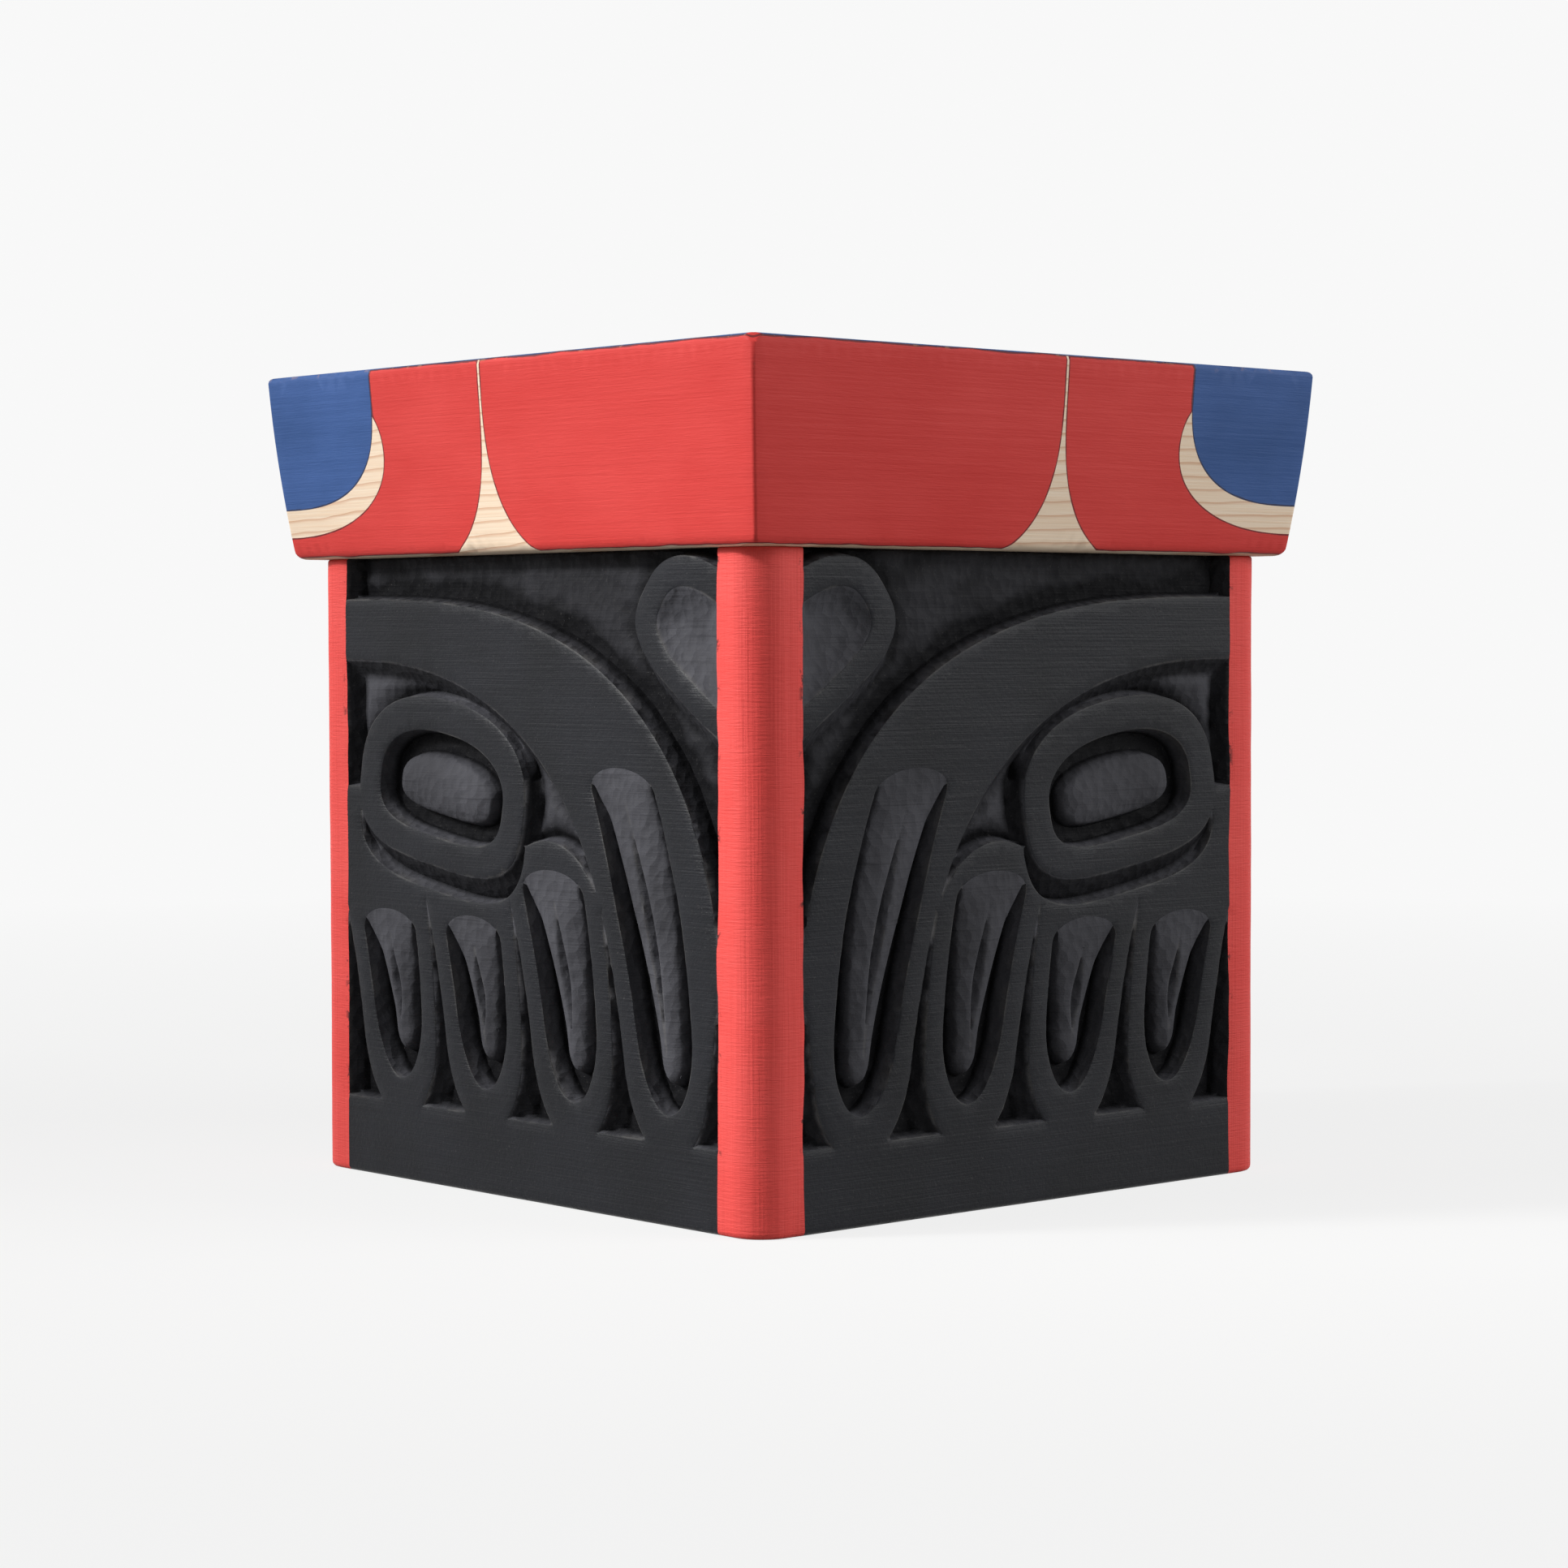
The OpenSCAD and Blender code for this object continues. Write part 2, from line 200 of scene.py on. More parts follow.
# Planed cedar, unfinished: cream wood with thin red-brown lines of late growth, a few millimetres apart.
# They lie level in upright wood. In a board that lies flat, a quarter turn makes them run along its faces.
def planedCedar(name, turn):
    material, tree = newMaterial(name)
    early, warm, late = (linearColour(text) for text in ("#fbe6cd", "#f5d9bb", "#cf9770"))
    ringGap = 4.6 * mm
    place = addNode(tree, "ShaderNodeTexCoord", give="Object")
    tilted = addNode(tree, "ShaderNodeMapping", {
        "Vector": place, "Rotation": (turn + grainTilt, math.radians(1.2), 0)})
    rings = addNode(tree, "ShaderNodeTexWave", {
        "Vector": tilted, "Scale": 2 * math.pi / (20 * ringGap), "Distortion": 2.6, "Detail": 2.0,
        "Detail Scale": 0.35, "Detail Roughness": 0.5},
        give="Fac", wave_type="BANDS", bands_direction="Z", wave_profile="SAW")
    fine = grain(tree, 60, 0.6, shift=2.0)
    colour = layColours(tree, early, (fine, 0.35, 0.65, 1.0, warm), (rings, 0.74, 1.0, 0.75, late))
    gloss = addNode(tree, "ShaderNodeMapRange", {0: fine, 1: 0.3, 2: 0.7, 3: 0.55, 4: 0.7})
    return finishMaterial(material, colour, gloss, fine, depthMm=0.2, strength=0.5)


# Whittled wood for the pegs: darker than the plank, with a rough cut end
def whittledPegWood():
    material, tree = newMaterial("whittledPegWood")
    pale, dark = linearColour("#b98455"), linearColour("#7c4a2a")
    fibre = grain(tree, 1.2, 1.2, detail=4.0)
    colour = layColours(tree, pale, (fibre, 0.35, 0.68, 1.0, dark))
    return finishMaterial(material, colour, 0.6, fibre, depthMm=0.3, strength=0.6)


flatBlack = blackCoat(
    "satinBlackPaint", "#131418", "#1b1c21", level=0.15, gloss=(0.42, 0.55), facets=0.0)
cutBlack = blackCoat(
    "knifeCutBlackPaint", "#434347", "#515156", level=0.04, gloss=(0.5, 0.65), facets=3.4)
stripeRed = brushedPaint(
    "cornerRedPaint", "#ed524d", "#d2433f", "#f25a55", "#4c2422",
    strokes=(0.9, 60), relief=0.42, drawn=False)
lidRed = brushedPaint(
    "lidRedPaint", "#d7403c", "#bc3532", "#de4844", "#d6ab83",
    strokes=(90, 0.9), relief=0.18, drawn=True)
lidBlue = brushedPaint(
    "lidBluePaint", "#36568d", "#2c4675", "#42629d", "#d6ab83",
    strokes=(90, 0.9), relief=0.18, drawn=True)
bareCedar = planedCedar("planedCedar", turn=0.0)
boardCedar = planedCedar("planedCedarBoard", turn=math.pi / 2)
pegWood = whittledPegWood()
print("materials made")


# Lines and points on a flat sheet, in millimetres

neighbours = [(dx, dy) for dx in (-1, 0, 1) for dy in (-1, 0, 1)]


def batches(count, size):                # slices that keep the tables of distances small
    return [slice(first, first + size) for first in range(0, count, size)]


def softWaves(points, wave, seed, octaves=3, headings=6, fade=0.5):    # smooth ups and downs, about -1 to 1
    draw = np.random.default_rng(seed)
    total = np.zeros(len(points))
    for octave in range(octaves):
        for _ in range(headings):
            heading = draw.normal(size=points.shape[1])
            heading /= np.linalg.norm(heading)
            length = wave * fade ** octave * draw.uniform(0.7, 1.4)
            phase = draw.uniform(0, 2 * math.pi)
            total += np.sin(points @ heading * 2 * math.pi / length + phase) * fade ** octave
    return total / 4


# 0 in the middle of a cut, 1 on the ridges between cuts
def gougeCuts(points, size, seed, table=64, jitter=0.4, ridge=0.5):
    shifts = np.random.default_rng(seed).uniform(-jitter, jitter, (table, table, 2))
    grid = points / np.array(size)
    cell = np.floor(grid).astype(int)
    nearest = np.full(len(points), np.inf)
    for step in neighbours:
        other = cell + step
        centre = other + 0.5 + shifts[other[:, 0] % table, other[:, 1] % table]
        nearest = np.minimum(nearest, ((grid - centre) ** 2).sum(1))
    return np.clip(nearest / ridge, 0, 1)


def insideLine(points, line):            # which points lie within a closed line
    x, y = points.T
    found = np.zeros(len(points), bool)
    for (x0, y0), (x1, y1) in zip(line, np.roll(line, -1, axis=0)):
        if y0 != y1:
            found ^= ((y0 > y) != (y1 > y)) & (x < x0 + (x1 - x0) * (y - y0) / (y1 - y0))
    return found


def evenLine(line, step, closed=False):
    line = np.asarray(line, float)
    if closed:
        line = np.vstack([line, line[:1]])
    run = np.append(0, np.cumsum(np.linalg.norm(np.diff(line, axis=0), axis=1)))
    at = np.linspace(0, run[-1], max(1, round(run[-1] / step)) + 1)
    return np.column_stack([np.interp(at, run, line[:, k]) for k in (0, 1)])


def sideways(line):                      # unit vectors across the segments of a line
    ahead = np.diff(line, axis=0)
    across = np.column_stack([-ahead[:, 1], ahead[:, 0]])
    return across / np.linalg.norm(across, axis=1, keepdims=True)


def crossed(first, second):              # cross product of flat vectors
    return first[:, 0] * second[:, 1] - first[:, 1] * second[:, 0]


def stretches(marked):                   # first and past-the-last place of each unbroken run of marks
    return np.flatnonzero(np.diff(np.concatenate([[0], marked, [0]]))).reshape(-1, 2)


def cutAtCorners(line, reach=3, sharp=math.radians(38)):
    if len(line) < 2 * reach + 2:
        return [line]
    behind = line[reach:-reach] - line[:-2 * reach]
    ahead = line[2 * reach:] - line[reach:-reach]
    turn = np.abs(np.arctan2(crossed(behind, ahead), (behind * ahead).sum(1)))
    corners = [k for k in np.flatnonzero(turn > sharp)
               if turn[k] == turn[max(0, k - reach):k + reach + 1].max()]
    stops = [0] + [k + reach for k in corners] + [len(line) - 1]
    return [line[first:last + 1] for first, last in zip(stops, stops[1:]) if last > first]


# The stretches of the outlines that part two kinds of surface, as even lines.
# A straddling probe on both sides of a fine copy tells where that is so.
def findBorders(outlines, kindOf, step, fineStep=0.4, probe=0.12):
    borders = []
    for line, closed in outlines:
        fine = evenLine(line, fineStep, closed)
        middle = (fine[1:] + fine[:-1]) / 2
        across = sideways(fine) * probe
        differs = kindOf(middle + across) != kindOf(middle - across)
        for first, last in stretches(differs):
            borders += [evenLine(part, step) for part in cutAtCorners(fine[first:last + 1])]
    return borders


def nearestBorder(points, starts, ends):    # distance to the nearest segment, and which it is
    along = ends - starts
    lengths = (along ** 2).sum(1)
    gap = np.empty(len(points))
    which = np.empty(len(points), int)
    for part in batches(len(points), 400):
        offset = points[part, None, :] - starts[None]
        share = np.clip((offset * along).sum(2) / lengths, 0, 1)
        square = ((offset - share[..., None] * along) ** 2).sum(2)
        which[part] = square.argmin(1)
        gap[part] = np.sqrt(square.min(1))
    return gap, which


def spreadOut(kept, candidates, least):  # adds the candidates that keep their distance
    cells = {}
    kept = [tuple(point) for point in kept]
    for x, y in kept:
        cells.setdefault((int(x // least), int(y // least)), []).append((x, y))
    for x, y in candidates:
        column, row = int(x // least), int(y // least)
        near = (other for dx, dy in neighbours for other in cells.get((column + dx, row + dy), ()))
        if all((x - a) ** 2 + (y - b) ** 2 >= least ** 2 for a, b in near):
            cells.setdefault((column, row), []).append((x, y))
            kept.append((x, y))
    return kept


def honeycomb(low, high, pitch, seed, jitter=0.15):
    draw = np.random.default_rng(seed)
    points = []
    for row, y in enumerate(np.arange(low[1], high[1], pitch * 0.866)):
        start = low[0] + (row % 2) * pitch / 2
        points += [(x, y) for x in np.arange(start, high[0], pitch)]
    return np.array(points) + draw.uniform(-jitter, jitter, (len(points), 2)) * pitch


def sheetRim(columns, rows):             # points round a rectangle: its foot and top, then its two ends
    rim = [(x, y) for y in (rows[0], rows[-1]) for x in columns]
    return rim + [(x, y) for x in (columns[0], columns[-1]) for y in rows[1:-1]]


def rimRows(s, v):                       # points on the start, end, top and foot of a sheet, each in order
    rows = []
    for gap, order in ((s - s.min(), v), (s - s.max(), v), (v - v.max(), s), (v - v.min(), s)):
        row = np.flatnonzero(np.abs(gap) < laying["rimGap"])
        rows.append(row[np.argsort(order[row])])
    return rows


# How a sheet is laid out: the gap within which borders share a point, the probe and the clearance of rows
# beside them, the room that the filling leaves in shares of its pitch, and what counts as on the rim
laying = dict(weld=0.2, probe=0.3, clear=0.85, room=0.45, touch=1e-4, rimGap=1e-3, sliver=1e-3, seed=11)


def withinSheet(line, low, high):        # the stretches of a line on the sheet, each ended on its rim
    kept = ((line >= low) & (line <= high)).all(1)
    kept = kept | np.append(kept[1:], False) | np.append(False, kept[:-1])
    parts = [np.clip(line[first:last], low, high) for first, last in stretches(kept)]
    moved = [np.append(True, np.linalg.norm(np.diff(part, axis=0), axis=1) > 1e-6) for part in parts]
    return [part[some] for part, some in zip(parts, moved) if some.sum() > 1]


def weldLines(lines, points):            # adds the lines' points, one where lines meet, and gives the edges
    edges = []
    known = {}
    for line in lines:
        chain = []
        for point in line:
            column, row = np.round(point / laying["weld"]).astype(int)
            around = [(column + dx, row + dy) for dx, dy in neighbours]
            near = [known[cell] for cell in around if cell in known]
            if not near:
                near = [known.setdefault((column, row), len(points))]
                points.append(tuple(point))
            chain.append(near[0])
        edges += [pair for pair in zip(chain, chain[1:]) if pair[0] != pair[1]]
    return edges


def rowsBeside(borders, kindOf, offsets):    # places beside the borders, each with its offset and its kind
    beside = []
    for line in borders:
        across = sideways(line)
        normal = np.vstack([across[:1], across[1:] + across[:-1], across[-1:]])
        normal /= np.linalg.norm(normal, axis=1, keepdims=True)
        for side in (1, -1):
            kinds = kindOf(line + side * laying["probe"] * normal)
            for point, away, kind in zip(line, normal, kinds):
                beside += [(*(point + side * offset * away), offset, kind) for offset in offsets[kind]]
    return np.array(beside)


# Triangles over a convex sheet whose rim points are given. Borders become edges of the mesh, with rows of
# points beside them at the offsets for the kind of surface there. A honeycomb of its pitch fills the rest.
def layOut(rim, borders, kindOf, offsets, pitch, least, margin, extra=()):
    rim = np.asarray(rim, float)
    low, high = rim.min(0), rim.max(0)
    borders = [part for line in borders for part in withinSheet(line, low, high)]
    drawn = [line for line in borders
             if (np.minimum(line - low, high - line) > laying["touch"]).all(1).any()]
    stops = np.array([line[k] for line in drawn for k in (0, -1)])
    crowded = [np.linalg.norm(stops - point, axis=1).min() < least / 2 for point in rim]
    corners = (np.minimum(rim - low, high - rim) < laying["touch"]).all(1)
    points = [tuple(point) for point, close, corner in zip(rim, crowded, corners) if corner or not close]
    edges = weldLines(drawn, points)
    starts = np.vstack([line[:-1] for line in borders])
    ends = np.vstack([line[1:] for line in borders])
    beside = rowsBeside(borders, kindOf, offsets)
    gap = nearestBorder(beside[:, :2], starts, ends)[0]
    clear = (gap > laying["clear"] * beside[:, 2]) & (kindOf(beside[:, :2]) == beside[:, 3])
    fill = []
    for kind, step in pitch.items():
        spots = honeycomb(low, high, step, laying["seed"])
        spots = spots[kindOf(spots) == kind]
        room = max(offsets[kind]) + laying["room"] * step
        fill.append(spots[nearestBorder(spots, starts, ends)[0] > room])
    candidates = np.vstack([np.reshape(extra, (-1, 2)), beside[clear, :2], *fill])
    inner = ((candidates > low + margin) & (candidates < high - margin)).all(1)
    points = spreadOut(points, candidates[inner], least)
    flat = delaunay_2d_cdt([Vector(point) for point in points], edges, [], 0, laying["touch"])
    spots, triangles = np.array([tuple(point) for point in flat[0]]), np.array(flat[2])
    a, b, c = (spots[triangles[:, k]] for k in range(3))
    onRim = (np.minimum(spots - low, high - spots) < laying["rimGap"]).any(1)
    kept = (crossed(b - a, c - a) > laying["sliver"]) | ~onRim[triangles].all(1)
    return spots, triangles[kept], starts, ends


# A mesh in the making: points, faces with the numbers of their finishes, and named shares for each point

def startMesh(*labels):
    return dict(points=[], faces=[], finishes=[], shares={label: [] for label in labels})


def addPoints(made, places, **shares):   # gives the numbers of the new points
    first = len(made["points"])
    made["points"].extend(map(tuple, places))
    for label, values in made["shares"].items():
        values.extend(np.broadcast_to(shares.get(label, 0.0), len(places)))
    return np.arange(first, len(made["points"]))


def addFaces(made, faces, finishes):
    made["faces"].extend(map(tuple, faces))
    made["finishes"].extend(np.broadcast_to(finishes, len(faces)))


def addStrip(made, left, right, finishes, closed=False):    # faces between two rows of points
    if closed:
        left, right = (np.append(row, row[0]) for row in (left, right))
    addFaces(made, list(zip(left[:-1], left[1:], right[1:], right[:-1])), finishes)


def makePiece(name, made, materials, sharp):
    mesh = bpy.data.meshes.new(name)
    mesh.from_pydata((np.asarray(made["points"]) * mm).tolist(), [], made["faces"])
    for material in materials:
        mesh.materials.append(material)
    mesh.polygons.foreach_set("material_index", np.asarray(made["finishes"], np.int32))
    for label, values in made["shares"].items():
        layer = mesh.attributes.new(label, "FLOAT", "POINT")
        layer.data.foreach_set("value", np.asarray(values, np.float32))
    build = bmesh.new()
    build.from_mesh(mesh)
    bmesh.ops.dissolve_degenerate(build, dist=1e-6, edges=build.edges)
    bmesh.ops.recalc_face_normals(build, faces=build.faces)
    openEdges = sum(not edge.is_manifold for edge in build.edges)
    build.to_mesh(mesh)
    build.free()
    mesh.shade_smooth()
    mesh.set_sharp_from_angle(angle=math.radians(sharp))
    piece = bpy.data.objects.new(name, mesh)
    scene.collection.objects.link(piece)
    triangles = sum(len(face.vertices) - 2 for face in mesh.polygons)
    print(name, "made:", triangles, "triangles,", openEdges, "open edges")
    return piece


# The four sides in the order in which the plank runs round: outward normal and heading.
# On the first and third side the carving and the paint run against the heading.
sides = [((1, 0), (0, -1), True), ((0, -1), (-1, 0), False),
         ((-1, 0), (0, 1), True), ((0, 1), (1, 0), False)]


def edgeLoss(distance, radius):          # how far a rounded edge draws in at a distance from the end
    return radius - np.sqrt(radius ** 2 - np.clip(radius - distance, 0, None) ** 2)


# The carving on each side is a wing, drawn on a sheet: u from its shoulder to its long feather, v up

wing = dict(
    sheet=(200.0, 225.0),
    featherTops=(98.0, 98.0, 116.0, 152.0), featherFirst=32.0, featherPitch=48.0, featherSweep=22.0,
    sweepSpan=120.0, tip=22.0, splitTop=104.0, featherOpen=0.055, featherEnd=30.0,
    sideBand=8.0, tipBand=15.0, grooveEnds=(26.0, 8.0),
    tongueGap=8.5, tongueFoot=10.5, tongueEnd=7.0, tongueFull=62.0, tongueTaper=0.6,
    splitHalf=2.2, splitFoot=17.0, splitHead=9.0, hem=28.0,
    fill=((170, 50), (196.5, 50), (200, 80), (201, 80), (201, 225), (170, 225)),
    archFoot=40.0, archOut=(203.0, 170.0), archOutPower=2.8, archIn=(150.0, 148.0), archInPower=2.4,
    topGroundFoot=82.0, shoulderHalf=(34.0, 46.0), shoulderCentre=(113.0, 80.0),
    shoulderBlock=(90.0, 142.0), shoulderFoot=100.0,
    ovoidHalf=(47.0, 32.0), ovoidCentre=(55.0, 142.0), ovoidTurn=-10.0, ovoidBand=12.0, ovoidGroove=9.0,
    ovoidPower=(0.85, 0.6), ovoidFlat=0.86, crescentShift=(1.0, -9.0),
    budHalf=(40.0, 25.0), budCentre=(198.0, 190.0), budTurn=-36.0, budBand=10.0)
feathers = range(len(wing["featherTops"]))


def roundEnd(share):
    return np.sqrt(np.clip(1 - (1 - np.clip(share, 0, 1)) ** 2, 0, 1))


def featherLine(i, v):
    bend = ((v - wing["tip"]) / wing["sweepSpan"]) ** 2
    return wing["featherFirst"] + wing["featherPitch"] * i - wing["featherSweep"] * bend


def featherRoom(v):
    return wing["featherPitch"] / 2 - wing["featherOpen"] * np.maximum(0, wing["splitTop"] - v)


def leaf(i, low, high, halfWidth, steps=40):    # outline about a feather's middle line
    v = low + (high - low) * (1 - np.cos(np.linspace(0, math.pi, steps + 1))) / 2
    half = halfWidth(v)
    middle = featherLine(i, v)
    return np.column_stack([np.append(middle + half, (middle - half)[::-1]), np.append(v, v[::-1])])


def splitEnds(i):
    return wing["tip"] + wing["tipBand"] + wing["splitFoot"], wing["featherTops"][i] - wing["splitHead"]


def featherShapes(i):
    tip, top = wing["tip"], wing["featherTops"][i]
    foot = tip + wing["tipBand"]
    tongueFoot = foot + wing["tongueFoot"]
    splitLow, splitHigh = splitEnds(i)
    band = wing["sideBand"]

    def featherHalf(v):
        return featherRoom(v) * roundEnd((v - tip) / wing["featherEnd"])

    def grooveHalf(v):
        ends = roundEnd((v - foot) / wing["grooveEnds"][0]) * roundEnd((top - v) / wing["grooveEnds"][1])
        return (featherRoom(v) - band) * ends

    def tongueHalf(v):
        lower = np.clip((top - v) / (top - wing["tongueFull"]), 0, 1)
        loss = wing["tongueGap"] * lower ** wing["tongueTaper"]
        return (featherRoom(v) - band - loss) * roundEnd((v - tongueFoot) / wing["tongueEnd"])

    def splitHalf(v):
        return wing["splitHalf"] * np.sin(math.pi * (v - splitLow) / (splitHigh - splitLow)) ** 2

    return dict(feather=leaf(i, tip, wing["splitTop"] + 1, featherHalf),
                groove=leaf(i, foot, top, grooveHalf), tongue=leaf(i, tongueFoot, top + 1, tongueHalf),
                split=leaf(i, splitLow, splitHigh, splitHalf))


def ovoid(half, centre, turn, steps=144):    # round above, flatter below, with full lower corners
    t = np.linspace(0, 2 * math.pi, steps + 1)[:-1]
    upper = np.sin(t) >= 0
    power = np.where(upper, *wing["ovoidPower"])
    x = half[0] * np.sign(np.cos(t)) * np.abs(np.cos(t)) ** power
    y = half[1] * np.sign(np.sin(t)) * np.abs(np.sin(t)) ** power * np.where(upper, 1, wing["ovoidFlat"])
    a = math.radians(turn)
    return np.column_stack([x * math.cos(a) - y * math.sin(a), x * math.sin(a) + y * math.cos(a)]) + centre


def arch(half, power, steps=72):
    t = np.linspace(0, math.pi / 2, steps + 1)
    x = half[0] * np.cos(t).clip(0) ** (2 / power)
    y = wing["archFoot"] + half[1] * np.sin(t) ** (2 / power)
    return np.vstack([[(0, 0), (half[0], 0)], np.column_stack([x, y])])


def ellipse(half, centre, steps=96):
    t = np.linspace(0, 2 * math.pi, steps + 1)[:-1]
    return np.array(centre) + np.column_stack([np.cos(t), np.sin(t)]) * half


def insetOvoid(name, inset):
    half = np.array(wing[name + "Half"]) - inset
    return ovoid(half, np.array(wing[name + "Centre"]), wing[name + "Turn"])


def wingShapes():
    shapes = dict(
        archOut=arch(wing["archOut"], wing["archOutPower"]), archIn=arch(wing["archIn"], wing["archInPower"]),
        shoulder=ellipse(wing["shoulderHalf"], wing["shoulderCentre"]),
        ovoid=insetOvoid("ovoid", 0), band=insetOvoid("ovoid", wing["ovoidBand"]),
        ball=insetOvoid("ovoid", wing["ovoidBand"] + wing["ovoidGroove"]),
        moon=insetOvoid("ovoid", 0) + wing["crescentShift"],
        bud=insetOvoid("bud", 0), dish=insetOvoid("bud", wing["budBand"]), fill=np.array(wing["fill"], float))
    for i in feathers:
        for name, line in featherShapes(i).items():
            shapes[name + str(i)] = line
    return shapes


shapes = wingShapes()
crest, ground, groove, split, dish, tongue = range(6)    # kinds of carved surface


def wingKinds(points):
    u, v = points.T
    inside = {name: insideLine(points, line) for name, line in shapes.items()}
    above = (v > wing["topGroundFoot"]) & ~inside["archOut"] & ~inside["bud"]
    block = (u < wing["shoulderBlock"][0]) & (v < wing["shoulderBlock"][1])
    under = inside["archIn"] & (v > wing["shoulderFoot"]) & ~block & ~inside["shoulder"]
    moon = inside["moon"] & (v < wing["ovoidCentre"][1])
    feathered = np.any([inside[f"feather{i}"] for i in feathers], axis=0)
    tips = (v > wing["hem"]) & (v < wing["splitTop"]) & ~feathered & ~inside["fill"]
    kinds = np.where(above | (under | moon) & ~inside["ovoid"] | tips, ground, crest)
    kinds[inside["band"]] = groove
    kinds[inside["ball"]] = tongue
    for i in feathers:
        kinds[inside[f"groove{i}"]] = groove
        kinds[inside[f"groove{i}"] & inside[f"tongue{i}"]] = tongue
        kinds[inside[f"split{i}"]] = split
    kinds[inside["dish"]] = dish
    kinds[(u < 0) | (u > wing["sheet"][0])] = crest
    return kinds


# How the carving is cut, in millimetres: depths under the plank's face, the runs in which they are reached,
# the shares of painted shade in the cuts, and the heights and lengths of waves and knife marks
cut = dict(
    groundDepth=6.0, channel=1.6, channelRun=8.0, coveDepth=8.2, coveRise=4.8, coveRun=17.0,
    grooveDepth=7.8, splitDepth=3.6, dishDepth=4.6, arris=0.3, arrisRun=0.65, wall=1.7, wallPower=1.5,
    slope=0.85, dishRun=12.0, splitSlope=1.6, tongueDrop=3.0, tongueRun=8.5, tongueFade=14.0, onEdge=0.02,
    shadeFrom=4.6, shadeRun=3.0, leanRun=1.2, leanShade=0.55, groundShade=0.45,
    flatWaves=0.12, flatWaveRun=70, groundWaves=0.4, groundWaveRun=34, sideShift=300.0,
    groundCuts=0.35, groundCutSize=(11, 6), grooveCuts=0.6, grooveCutSize=(4, 3))

# How finely the sheet is laid out: rows near its foot and top, rows beside the borders and the pitch between
carvedMesh = dict(
    endRows=(0, 0.35, 0.8, 1.4, 2.2), rows=102, columns=92, borderStep=1.7, slitStep=0.9, slitEnds=0.16,
    probe=0.15, inRim=0.01, least=0.52, margin=0.3,
    beside={crest: (0.65,), ground: (0.7, 1.7, 3.2, 4.8), groove: (0.7, 1.7, 3.2), split: (0.6, 1.3, 2.0),
            dish: (1.0, 2.4), tongue: (0.65, 1.7)},
    pitch={crest: 3.4, ground: 1.8, groove: 1.9, split: 1.9, dish: 1.8, tongue: 1.9})


def wingOutlines():
    width, height = wing["sheet"]
    outlines = [(line, True) for line in shapes.values()]
    levels = [wing[name] for name in ("topGroundFoot", "shoulderFoot", "hem", "splitTop")]
    outlines += [(((0, v), (width, v)), False) for v in (*levels, wing["shoulderBlock"][1])]
    outlines += [(((u, 0), (u, height)), False) for u in (0, wing["shoulderBlock"][0], width)]
    return outlines


# How far the knife has come under an edge: the distance to the spots on it, counted straight down and drawn
# out towards the sides, so that the walls that face down are wide slopes and the others stand steeper
def reachUnder(points, spots):
    reach = np.empty(len(points))
    for part in batches(len(points), 200):
        offset = spots[None] - points[part, None, :]
        rise = np.maximum(offset[..., 1], 1e-3)
        reach[part] = ((offset ** 2).sum(2) ** 1.5 / rise ** 2).min(1)
    return reach


def slitPoints():                        # along the bottom of each slit, short of its fine ends
    near = carvedMesh["slitEnds"]
    far = 1 - near
    spots = []
    for i in feathers:
        low, high = splitEnds(i)
        v = np.arange(far * low + near * high, near * low + far * high, carvedMesh["slitStep"])
        spots += zip(featherLine(i, v), v)
    return spots


def carveSheet():
    width, height = wing["sheet"]
    ends = np.array(carvedMesh["endRows"])
    between = np.linspace(ends[-1], height - ends[-1], carvedMesh["rows"])[1:-1]
    rows = np.concatenate([ends, between, height - ends[::-1]])
    columns = np.linspace(0, width, carvedMesh["columns"])
    extra = [(u, v) for v in np.concatenate([ends[1:], height - ends[1:]]) for u in columns[1:-1]]
    borders = findBorders(wingOutlines(), wingKinds, carvedMesh["borderStep"])
    points, triangles, starts, stops = layOut(
        sheetRim(columns, rows), borders, wingKinds, carvedMesh["beside"], carvedMesh["pitch"],
        carvedMesh["least"], carvedMesh["margin"], extra + slitPoints())
    carved = wingKinds(points[triangles].mean(1)) != crest
    inRim = carvedMesh["inRim"]
    kinds = wingKinds(np.clip(points, inRim, np.array(wing["sheet"]) - inRim))
    gap, which = nearestBorder(points, starts, stops)
    middle = (starts + stops) / 2
    along = stops - starts
    across = np.column_stack([-along[:, 1], along[:, 0]]) * carvedMesh["probe"]
    across /= np.linalg.norm(along, axis=1, keepdims=True)
    pairs = np.sort([wingKinds(middle + across), wingKinds(middle - across)], axis=0).T
    tongueEdge, tongueTop = ((pairs == pair).all(1) for pair in ((groove, tongue), (crest, tongue)))
    tongueGap, topGap = (nearestBorder(points, starts[some], stops[some])[0]
                         for some in (tongueEdge, tongueTop))
    byGround = (pairs == ground).any(1)
    spots = np.vstack([starts[byGround] + along[byGround] * share for share in (0, 0.25, 0.5, 0.75)])
    reach = np.full(len(points), np.inf)
    reach[kinds == ground] = reachUnder(points[kinds == ground], spots)
    return dict(points=points, triangles=triangles, carved=carved, kinds=kinds, gap=gap, reach=reach,
                byTongue=tongueEdge[which], byTop=tongueTop[which], tongueGap=tongueGap, topGap=topGap)


